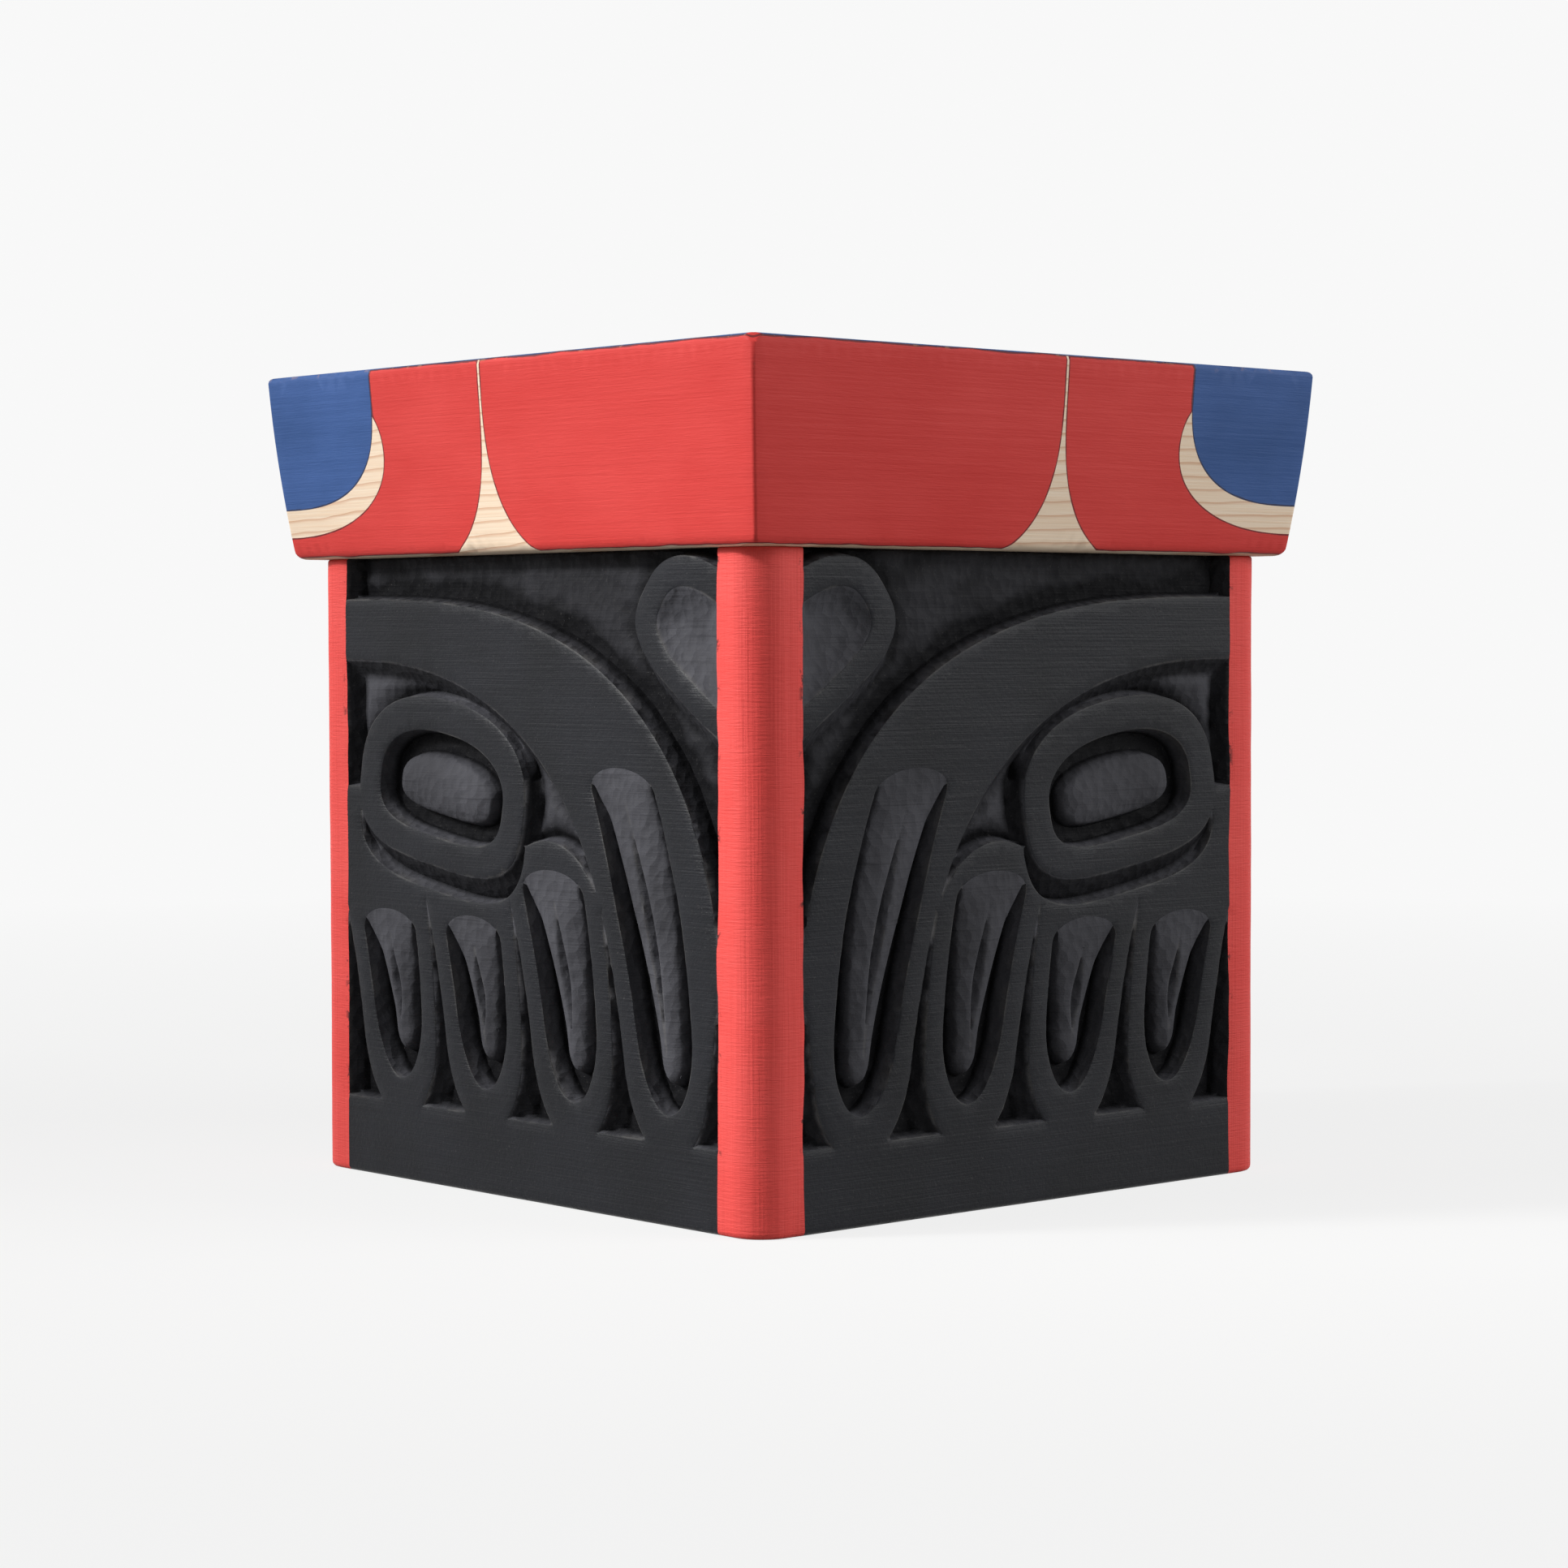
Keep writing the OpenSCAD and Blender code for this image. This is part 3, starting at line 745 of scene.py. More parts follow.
# Depth under the plank's face at each point of the sheet: eased arrises, steep walls with a trench along
# their foot, ground that swells up away from them, domed tongues, and the marks of the knife.
# Wear, also a painted highlight along the arrises, and painted shade for each point come with it. Each side
# has waves and marks of its own.
def carveDepth(sheet, number):
    points, kinds, gap = sheet["points"], sheet["kinds"], sheet["gap"]
    shifted = points + (0, cut["sideShift"] * number)
    drop = cut["tongueDrop"] * np.clip(sheet["topGap"] / cut["tongueFade"], 0, 1)
    dome = drop * np.clip(1 - sheet["tongueGap"] / cut["tongueRun"], 0, 1) ** 2
    eased = np.where(sheet["byTop"], 0, np.clip(1 - gap / cut["arrisRun"], 0, 1))
    depth = cut["arris"] * eased + cut["flatWaves"] * softWaves(shifted, cut["flatWaveRun"], seed=21)
    depth += np.where(kinds == tongue, dome, 0)
    start = cut["arris"] + np.where(sheet["byTongue"], drop, 0)
    wall = 1 - np.clip(1 - gap / cut["wall"], 0, 1) ** cut["wallPower"]
    cove = insideLine(points, shapes["archIn"]) & (points[:, 1] > wing["shoulderFoot"])
    rise = np.clip(gap / cut["coveRun"], 0, 1)
    swelling = cut["coveDepth"] - cut["coveRise"] * rise * (2 - rise)
    trenched = cut["groundDepth"] + cut["channel"] * np.exp(-(gap / cut["channelRun"]) ** 2)
    waves = cut["groundWaves"] * softWaves(shifted, cut["groundWaveRun"], seed=22)
    floor = np.where(cove, swelling, trenched) + waves
    floor -= cut["groundCuts"] * gougeCuts(shifted, cut["groundCutSize"], seed=23)
    steep, sloped = start + (floor - start) * wall, start + cut["slope"] * sheet["reach"]
    depth = np.where(kinds == ground, np.minimum(steep, sloped), depth)
    leaning = np.where(kinds == ground, np.clip((steep - sloped) / cut["leanRun"], 0, 1), 0)
    floor = cut["grooveDepth"] - cut["grooveCuts"] * gougeCuts(shifted, cut["grooveCutSize"], seed=24)
    depth = np.where(kinds == groove, start + (floor - start) * wall, depth)
    notch = np.minimum(cut["splitSlope"] * gap + cut["arris"], cut["splitDepth"])
    depth = np.where(kinds == split, dome + notch, depth)
    bowl = cut["dishDepth"] * (1 - np.clip(1 - gap / cut["dishRun"], 0, 1) ** 2)
    depth = np.where(kinds == dish, cut["arris"] + bowl, depth)
    # The arris line: worn paint, and at once a painted highlight along the edges
    wear = np.where(((kinds == crest) | (gap < cut["onEdge"])) & ~sheet["byTongue"], eased, 0)
    # Painted shade: the deeper the cut the darker it is painted, with a least share on the open ground and on
    # the slopes that face down, where shade falls
    shaded = np.where((kinds == ground) & ~cove, cut["groundShade"], cut["leanShade"] * leaning)
    hollow = np.clip((depth - cut["shadeFrom"]) / cut["shadeRun"], shaded, 1)
    return depth, wear, hollow


# The side plank: one board bent round three kerfed corners and lapped at the fourth

plank = dict(
    half=plankHigh.x / mm, height=plankHigh.z / mm, thick=20.0, bend=13.0, stripe=20.0,
    kerfWidth=1.2, kerfDepth=13.0, lap=8.0, seam=0.3, lipEase=0.25, lipStep=0.05,
    rabbet=11.0, shoulder=baseHigh.z / mm, rimRound=1.0, footRound=2.0, innerRound=0.9,
    wobble=0.55, wobbleRun=60, wobbleReach=10, waves=0.12, waveRun=45, bendSteps=12, flatSteps=3)
painted, cutPainted, striped, bare = range(4)


def plankLoss(z):
    return edgeLoss(z, plank["footRound"]) + edgeLoss(plank["height"] - z, plank["rimRound"])


# Columns of a corner: places on the outside and their outward normals, from one flat to the next
def cornerColumns(normal, heading, fromTurn=0.0, toTurn=math.pi / 2, before=True, after=True):
    half, bend, stripe = plank["half"], plank["bend"], plank["stripe"]
    n, h = np.array(normal, float), np.array(heading, float)
    centre = (n + h) * (half - bend)
    flats = np.linspace(half - stripe, half - bend, plank["flatSteps"] + 1)[1:-1]
    columns = [(n * half + h * a, n) for a in flats] if before else []
    steps = max(2, round(plank["bendSteps"] * (toTurn - fromTurn) / (math.pi / 2)))
    for turn in np.linspace(fromTurn, toTurn, steps + 1):
        away = n * math.cos(turn) + h * math.sin(turn)
        columns.append((centre + bend * away, away))
    if after:
        columns += [(h * half + n * a, h) for a in flats[::-1]]
    return columns


def buildPlank(sheet):
    half, height = plank["half"], plank["height"]
    inner = half - plank["thick"]
    deep = inner + plank["rabbet"]
    panel = half - plank["stripe"]
    width = wing["sheet"][0]
    scale = np.array([2 * panel / width, height / wing["sheet"][1]])
    made = startMesh("wear", "hollow")
    sections = []                        # top point, foot point, inner place, way out, rabbet place

    def addPanel(number):
        normal, heading, mirrored = sides[number]
        # With the depth come the arris line, worn paint and a painted highlight at once, and the painted
        # shade of the cuts
        depth, wornAndEdgeHighlight, paintedShade = carveDepth(sheet, number)
        u, v = sheet["points"].T
        halves = np.column_stack([v, u > width / 2])
        sway = plank["wobble"] * softWaves(halves, plank["wobbleRun"], seed=40 + number)
        nearEnd = np.clip(1 - np.minimum(u, width - u) / plank["wobbleReach"], 0, 1)
        place = (u + sway * nearEnd) * scale[0]
        along = (2 * panel - place if mirrored else place) - panel
        z = v * scale[1]
        out = half - depth - plankLoss(z)
        flat = np.outer(out, normal) + np.outer(along, heading)
        ids = addPoints(made, np.column_stack([flat, z]), wear=wornAndEdgeHighlight, hollow=paintedShade)
        corners = ids[sheet["triangles"]]
        addFaces(made, corners if mirrored else corners[:, ::-1],
                 np.where(sheet["carved"], cutPainted, painted))
        s = width - u if mirrored else u
        start, end, top, foot = rimRows(s, v)
        return dict(start=ids[start], end=ids[end], top=ids[top], foot=ids[foot], s=s[top] * scale[0] - panel)

    def addCorner(columns, left, right):     # the red stripe between the rims of two panels, or of one
        z = np.array([made["points"][k][2] for k in (right if left is None else left)])
        rows = []
        for (x, y), (nx, ny) in columns:
            spot = np.column_stack([np.full(len(z), x), np.full(len(z), y), z])
            out = plank["waves"] * softWaves(spot, plank["waveRun"], seed=31) - plankLoss(z)
            rows.append(addPoints(made, spot + np.outer(out, (nx, ny, 0))))
        stripe = [row for row in (left, *rows, right) if row is not None]
        for first, second in zip(stripe, stripe[1:]):
            addStrip(made, first, second, striped)
        return rows

    def panelSections(number):
        n, h = (np.array(way, float) for way in sides[number][:2])
        for top, foot, s in zip(*(panels[number][name] for name in ("top", "foot", "s"))):
            along = np.clip(s, -inner, inner)
            sections.append((top, foot, n * inner + h * along, n, n * deep + h * along))

    def cornerSections(rows, number):        # the kerf runs out along the diagonal and back
        n, h = (np.array(way, float) for way in sides[number][:2])
        out = (n + h) / math.sqrt(2)
        across = (n - h) / math.sqrt(2) * plank["kerfWidth"] / 2
        middle = (len(rows) - 1) / 2
        for k, row in enumerate(rows):
            share = 1 - abs(k - middle) / (middle + 1)
            side, near, far = (1, n, h) if k < middle else (-1, h, n)
            place = (n + h) * inner + out * plank["kerfDepth"] * share + across * side
            rabbet = near * deep + far * (inner + (deep - inner) * share)
            sections.append((row[-1], row[0], place, np.zeros(2), rabbet))

    panels = [addPanel(number) for number in range(4)]
    # end of the plank that goes under the lip, in the corner at +X +Y
    seam, lipFace = plank["seam"] / 2, half - plank["lap"]
    underTurn = math.asin((lipFace - seam - half + plank["bend"]) / plank["bend"])
    under = cornerColumns((0, 1), (1, 0), math.pi / 2 - underTurn, before=False)
    underRows = addCorner(under, None, panels[0]["start"])
    for (place, _), row in zip(under, underRows):
        spot, rabbet = (np.array([x, place[1]]) for x in (inner + seam, deep))
        sections.append((row[-1], row[0], spot, np.array([1.0, 0.0]), rabbet))
    for number in range(4):
        panelSections(number)
        if number < 3:
            columns = cornerColumns(*sides[number][:2])
            rows = addCorner(columns, panels[number]["end"], panels[number + 1]["start"])
            cornerSections(rows, number)
    # the lip, which runs out over that end
    lipTurn = math.acos((lipFace + seam + plank["lipEase"] - half + plank["bend"]) / plank["bend"])
    over = cornerColumns((0, 1), (1, 0), toTurn=lipTurn, after=False)
    overRows = addCorner(over, panels[3]["end"], None)
    for k, ((place, _), row) in enumerate(zip(over, overRows)):
        spot = np.array([inner - seam if k == 0 else place[0], lipFace + seam])
        sections.append((row[-1], row[0], spot, np.zeros(2), spot + (0, plank["lipStep"])))

    # the inside, from the rim down to the rabbet for the bottom board and on to the foot
    ease = plank["innerRound"]
    part = 0.3 * ease
    ring = [(False, ease, height), (False, part, height - part), (False, 0, height - ease),
            (False, 0, 0.66 * height), (False, 0, 0.33 * height), (False, 0, plank["shoulder"]),
            (True, 0, plank["shoulder"]), (True, 0, ease), (True, part, part), (True, ease, 0)]
    chains = []
    for top, foot, spot, away, rabbet in sections:
        places = [(*((rabbet if low else spot) + away * out), z) for low, out, z in ring]
        chains.append([top, *addPoints(made, places), foot])
    for left, right in zip(chains, chains[1:]):
        addStrip(made, left, right, bare)
    for row, chain in ((underRows[0], chains[0]), (overRows[-1], chains[-1])):
        addFaces(made, [(*row, *chain[1:-1])], bare)
    return makePiece("sidePlank", made, [flatBlack, cutBlack, stripeRed, bareCedar], sharp=48)


carvedSheet = carveSheet()
print("carving laid out:", len(carvedSheet["points"]), "points a side")
sidePlank = buildPlank(carvedSheet)
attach(sidePlank, "box_body")
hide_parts("side_plank")


# The lid: a hollowed block with flared sides, painted in fields with bare wood left between them

lid = dict(
    rest=plankHigh.z / mm, height=(lidHigh.z - plankHigh.z) / mm, lipHeight=(plankHigh.z - lidLow.z) / mm,
    foot=129.0, top=136.3, bulge=0.8, footRound=3.0, topRound=2.0, corner=1.3, roof=18.0,
    lipPlay=0.6, lipThick=10.0, ease=1.0, chip=2.8, sheet=132.0,
    footLine=2.0, topLine=1.5, topEdge=1.5, lineWaves=0.35, lineWaveRun=40, over=6, beyond=20,
    fieldCentres=(-70.0, 55.9), fieldHalf=62.5, fieldFull=58.0, fieldDepth=62.0, fieldPower=2.9,
    heartCentre=-132.0, heartHalf=62.0, heartFull=60.0, heartDepth=40.0, heartPower=2.7,
    crescentCentre=(-132.0, 40.0), crescentHalf=(66.0, 30.0), crescentPower=2.2,
    topForm=(54.0, 74.0), topCrescent=(58.0, 88.0), topHeart=(27.0, 38.0), topPower=2.6,
    rubbed=0.35, rubbedAt=1.5, rubbedReach=0.8, topWaves=0.1, topWaveRun=80, topWaveFade=20,
    roofRound=4, roofBend=1.2, scoop=0.35, scoopSize=(22, 13), scoopMargin=9, scoopPitch=6.5)
red, blue, wood = range(3)

# How finely its sides and its top are laid out
lidMesh = dict(
    footRows=(0, 0.7, 1.5, 2.4, 3.3, 4.3, 5.6), topRows=(0, 0.6, 1.3, 2.1, 3.0, 4.2), rows=10, columns=45,
    sideStep=1.6, topStep=2.0, least=0.5, sideMargin=0.3, topMargin=0.6, lineSteps=200, profileSteps=800,
    cornerTurns=(22.5, 45.0, 67.5), nearEnd=0.999, noLine=9.0,
    beside={kind: (0.7, 1.6) for kind in (red, blue, wood)}, pitch={kind: 7.0 for kind in (red, blue, wood)})


def superLine(centre, half, power, steps=180):    # an oval with fuller corners, as a closed line
    t = np.linspace(0, 2 * math.pi, steps + 1)[:-1]
    x = half[0] * np.sign(np.cos(t)) * np.abs(np.cos(t)) ** (2 / power)
    y = half[1] * np.sign(np.sin(t)) * np.abs(np.sin(t)) ** (2 / power)
    return np.column_stack([x, y]) + centre


def hangingEnd(form, centre, steps=120):    # round lower end of a form that hangs from the top edge
    half, full, depth, power = (lid[form + name] for name in ("Half", "Full", "Depth", "Power"))
    t = np.linspace(0, math.pi, steps + 1)
    x = -half * np.sign(np.cos(t)) * np.abs(np.cos(t)) ** (2 / power)
    return np.column_stack([centre + x, full - depth * np.sin(t).clip(0) ** (2 / power)])


def lidProfile():                        # run along the side from its foot, half width there, and height
    z = lid["height"] * (1 - np.cos(np.linspace(0, math.pi, lidMesh["profileSteps"] + 1))) / 2
    share = z / lid["height"]
    half = lid["foot"] + (lid["top"] - lid["foot"]) * share + 4 * lid["bulge"] * share * (1 - share)
    half -= edgeLoss(z, lid["footRound"]) + edgeLoss(lid["height"] - z, lid["topRound"])
    return np.append(0, np.cumsum(np.hypot(np.diff(half), np.diff(z)))), half, z


profile = lidProfile()
sideRun = profile[0][-1]


# On a side, two fields hang from the top edge with a narrow gap between them that opens downwards. Half of a
# heart, with a crescent under it, hangs at the far end and goes on round the corner there. Positive is
# towards the corner where two fields join.
def sideShapes():
    ends = [hangingEnd("field", centre) for centre in lid["fieldCentres"]]
    over, beyond = sideRun + lid["over"], lid["sheet"] + lid["beyond"]
    under = lid["fieldFull"] - lid["fieldDepth"]
    middle = len(ends[0]) // 2
    farSide, nearSide = ends[0][middle:], ends[1][:middle + 1]
    heart = hangingEnd("heart", lid["heartCentre"])
    return dict(
        far=np.vstack([farSide, [(farSide[-1, 0], over), (-beyond, over), (-beyond, under)]]),
        near=np.vstack([nearSide, [(beyond, under), (beyond, over), (nearSide[0, 0], over)]]),
        heart=np.vstack([heart, [(heart[-1, 0], over), (heart[0, 0], over)]]),
        crescent=superLine(lid["crescentCentre"], lid["crescentHalf"], lid["crescentPower"]))


sideForms = sideShapes()
levelLines = dict(top=(sideRun - lid["topLine"], 51), foot=(lid["footLine"], 52))    # height and seed


def paintLine(along, height, seed):      # a level line drawn by hand
    return height + lid["lineWaves"] * softWaves(along[:, None], lid["lineWaveRun"], seed)


def sideKinds(points):
    along, up = points.T
    inside = {name: insideLine(points, line) for name, line in sideForms.items()}
    kinds = np.where((inside["far"] | inside["near"]) & ~inside["crescent"], red, wood)
    kinds[inside["heart"] | (up > paintLine(along, *levelLines["top"]))] = blue
    kinds[up < paintLine(along, *levelLines["foot"])] = wood
    return kinds


lidTopEdge = lid["top"] - lid["topRound"]


def topForms():                          # a form with a heart and a crescent, grown in from each edge
    forms = []
    for turn in range(4):
        a = turn * math.pi / 2
        spin = np.array([[math.cos(a), math.sin(a)], [-math.sin(a), math.cos(a)]])
        forms.append([superLine((0, -lidTopEdge - lid["over"]), lid[name], lid["topPower"]) @ spin
                      for name in ("topCrescent", "topForm", "topHeart")])
    return forms


lidTopForms = topForms()


def topKinds(points):
    kinds = np.full(len(points), blue)
    for crescent, form, heart in lidTopForms:
        kinds[insideLine(points, crescent)] = wood
        kinds[insideLine(points, form)] = red
        kinds[insideLine(points, heart)] = blue
    kinds[np.abs(points).max(1) > lidTopEdge - lid["topEdge"]] = blue
    return kinds


# One side is laid out flat and set on all four, with narrow rounded strips at the corners between them.
# Gives the loops of points along the top and along the foot.
def setSides(made):
    sheet = lid["sheet"]
    lower, upper = np.array(lidMesh["footRows"]), sideRun - np.array(lidMesh["topRows"])[::-1]
    rows = np.concatenate([lower, np.linspace(lower[-1], upper[0], lidMesh["rows"])[1:-1], upper])
    columns = np.linspace(-sheet, sheet, lidMesh["columns"])
    extra = [(x, y) for y in np.concatenate([lower[1:], upper[:-1]]) for x in columns[1:-1]]
    level = np.linspace(-sheet, sheet, lidMesh["lineSteps"])
    outlines = [(line, True) for line in sideForms.values()]
    outlines += [(np.column_stack([level, paintLine(level, *line)]), False) for line in levelLines.values()]
    borders = findBorders(outlines, sideKinds, lidMesh["sideStep"])
    flat, triangles, starts, stops = layOut(
        sheetRim(columns, rows), borders, sideKinds, lidMesh["beside"], lidMesh["pitch"],
        lidMesh["least"], lidMesh["sideMargin"], extra)
    gap = nearestBorder(flat, starts, stops)[0]
    finishes = sideKinds(flat[triangles].mean(1))
    along, up = flat.T
    half, z = (np.interp(up, profile[0], values) for values in profile[1:])
    fromEdge = np.minimum(up, sideRun - up)
    rubbed = lid["rubbed"] * np.clip(1 - np.abs(fromEdge - lid["rubbedAt"]) / lid["rubbedReach"], 0, 1)
    placed = []
    for normal, heading, mirrored in sides:
        s = -along if mirrored else along
        run = s / sheet * (half - lid["corner"])
        places = np.column_stack([np.outer(half, normal) + np.outer(run, heading), z + lid["rest"]])
        ids = addPoints(made, places, border=gap, wear=rubbed)
        addFaces(made, ids[triangles], finishes)
        placed.append((ids, rimRows(s, up)))
    topLoop, footLoop = [], []
    for number, (normal, heading, _) in enumerate(sides):
        n, h = np.array(normal, float), np.array(heading, float)
        ids, (_, end, top, foot) = placed[number]
        nextIds, (start, *_) = placed[(number + 1) % 4]
        strip = []
        for turn in np.radians(lidMesh["cornerTurns"]):
            away = n * math.cos(turn) + h * math.sin(turn)
            spots = np.outer(half[end] - lid["corner"], n + h) + away * lid["corner"]
            places = np.column_stack([spots, z[end] + lid["rest"]])
            strip.append(addPoints(made, places, border=gap[end], wear=rubbed[end]))
        rise = up[end]
        inEnd = np.full(len(rise) - 1, along[end[0]] * lidMesh["nearEnd"])
        kinds = sideKinds(np.column_stack([inEnd, (rise[1:] + rise[:-1]) / 2]))
        joined = [ids[end], *strip, nextIds[start]]
        for first, second in zip(joined, joined[1:]):
            addStrip(made, first, second, kinds)
        topLoop += [*ids[top], *(row[-1] for row in strip)]
        footLoop += [*ids[foot], *(row[0] for row in strip)]
    return topLoop, footLoop


def coverTop(made, topLoop):             # the top, laid out inside the loop of the sides' upper ends
    rim = np.array([made["points"][k][:2] for k in topLoop])
    square = np.array([(-1, -1), (1, -1), (1, 1), (-1, 1)]) * (lidTopEdge - lid["topEdge"])
    outlines = [(line, True) for form in (*lidTopForms, [square]) for line in form]
    borders = findBorders(outlines, topKinds, lidMesh["topStep"])
    flat, triangles, starts, stops = layOut(
        rim, borders, topKinds, lidMesh["beside"], lidMesh["pitch"], lidMesh["least"], lidMesh["topMargin"])
    gap = nearestBorder(flat, starts, stops)[0]
    fade = np.clip((lidTopEdge - np.abs(flat).max(1)) / lid["topWaveFade"], 0, 1)
    z = lid["height"] + lid["topWaves"] * softWaves(flat, lid["topWaveRun"], seed=53) * fade
    rimAt = {(round(x, 3), round(y, 3)): k for k, (x, y) in zip(topLoop, rim)}
    ids = np.array([rimAt.get((round(x, 3), round(y, 3)), -1) for x, y in flat])
    fresh = np.flatnonzero(ids < 0)
    places = np.column_stack([flat[fresh], z[fresh] + lid["rest"]])
    ids[fresh] = addPoints(made, places, border=gap[fresh])
    addFaces(made, ids[triangles], topKinds(flat[triangles].mean(1)))


# Underside, lip and hollow: square loops inside each other, then the gouged roof of the hollow
def hollowUnder(made, footLoop):
    rest, ease, drop = lid["rest"], lid["ease"], -lid["lipHeight"]
    lipHalf = plank["half"] - plank["thick"] - lid["lipPlay"]
    hollow = lipHalf - lid["lipThick"]
    roof = lid["height"] - lid["roof"]
    part, bend, turned = 0.3 * ease, lid["roofBend"], lid["roofRound"]
    loops = [(lipHalf, 0), (lipHalf, drop + ease), (lipHalf - part, drop + part), (lipHalf - ease, drop),
             (hollow + ease, drop), (hollow + part, drop + part), (hollow, drop + ease),
             (hollow, roof - turned), (hollow - bend, roof - bend), (hollow - turned, roof)]
    foot = np.array([made["points"][k][:2] for k in footLoop])
    unit = foot / np.abs(foot).max(1, keepdims=True)
    previous = np.array(footLoop)
    for size, level in loops:
        places = np.column_stack([unit * size, np.full(len(unit), level + rest)])
        current = addPoints(made, places, border=lidMesh["noLine"])
        addStrip(made, previous, current, wood, closed=True)
        previous = current
    reach = hollow - lid["scoopMargin"]
    inner = honeycomb((-reach, -reach), (reach, reach), lid["scoopPitch"], seed=54)
    rim = unit * loops[-1][0]
    flat = delaunay_2d_cdt([Vector(point) for point in (*rim, *inner)], [], [], 0, 1e-6)
    level = roof - lid["scoop"] * gougeCuts(inner, lid["scoopSize"], seed=55)
    fresh = addPoints(made, np.column_stack([inner, level + rest]), border=lidMesh["noLine"])
    ids = np.append(previous, fresh)
    addFaces(made, [ids[list(face)] for face in flat[2]], wood)


def knockCorner(made):                   # the top corner at the front has been knocked flat and painted over
    points = np.array(made["points"])
    corner = np.array([-lid["top"], -lid["top"], lid["rest"] + lid["height"]])
    inward = np.array([1, 1, -1]) / math.sqrt(3)
    short = np.clip(lid["chip"] - (points - corner) @ inward, 0, None)
    made["points"] = points + np.outer(short, inward)
    made["finishes"] = [red if (short[list(face)] > 0).any() else finish
                        for face, finish in zip(made["faces"], made["finishes"])]


def buildLid():
    made = startMesh("border", "wear")
    topLoop, footLoop = setSides(made)
    coverTop(made, topLoop)
    hollowUnder(made, footLoop)
    knockCorner(made)
    return makePiece("paintedLid", made, [lidRed, lidBlue, bareCedar], sharp=40)


lidPiece = buildLid()
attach(lidPiece, "lid_body")
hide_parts("lid")


# The bottom board, planed by hand, so that both faces keep shallow scoops

base = dict(half=baseHigh.x / mm, low=baseLow.z / mm, high=baseHigh.z / mm, ease=0.8, scoop=0.25,
            scoopSize=(34, 17), cells=36)


def buildBase():
    half, ease, count = base["half"], base["ease"], base["cells"]
    made = startMesh()
    line = np.linspace(-1, 1, count + 1)
    unit = np.column_stack([values.ravel() for values in np.meshgrid(line, line, indexing="ij")])
    grid = unit * (half - ease)
    inside = np.abs(unit).max(1) < 1 - 1 / count
    number = np.arange((count + 1) ** 2).reshape(count + 1, count + 1)
    cells = np.stack([number[:-1, :-1], number[1:, :-1], number[1:, 1:], number[:-1, 1:]], axis=-1)
    loop = np.array([*number[0, :-1], *number[:-1, -1], *number[-1, :0:-1], *number[:0:-1, 0]])
    rims = []
    for level, way in ((base["high"], -1), (base["low"], 1)):
        scoops = way * base["scoop"] * (1 - gougeCuts(grid, base["scoopSize"], seed=61 + way)) * inside
        ids = addPoints(made, np.column_stack([grid, level + scoops]))
        addFaces(made, ids[cells.reshape(-1, 4)], 0)
        rims.append(ids[loop])
    eased = [addPoints(made, np.column_stack([unit[loop] * half, np.full(len(loop), level)]))
             for level in (base["high"] - ease, base["low"] + ease)]
    bands = [rims[0], *eased, rims[1]]
    for upper, lower in zip(bands, bands[1:]):
        addStrip(made, upper, lower, 0, closed=True)
    return makePiece("baseBoard", made, [boardCedar], sharp=35)


baseBoard = buildBase()
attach(baseBoard, "box_body")
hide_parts("base_board")


# Pegs: a whittled stick with a slightly domed head, set on one point for each peg.
# The axis is the one that the peg runs along, and its head is at the high or the low end.

pegs = dict(
    dome=0.45, roughness=0.22, shaveScale=220.0, sharp=40,
    cornerPegs=dict(start="corner_peg", axis=1, head="high", turn=(-math.pi / 2, 0, 0), seed=3),
    basePegs=dict(start="base_peg", axis=2, head="low", turn=(math.pi, 0, 0), seed=4))


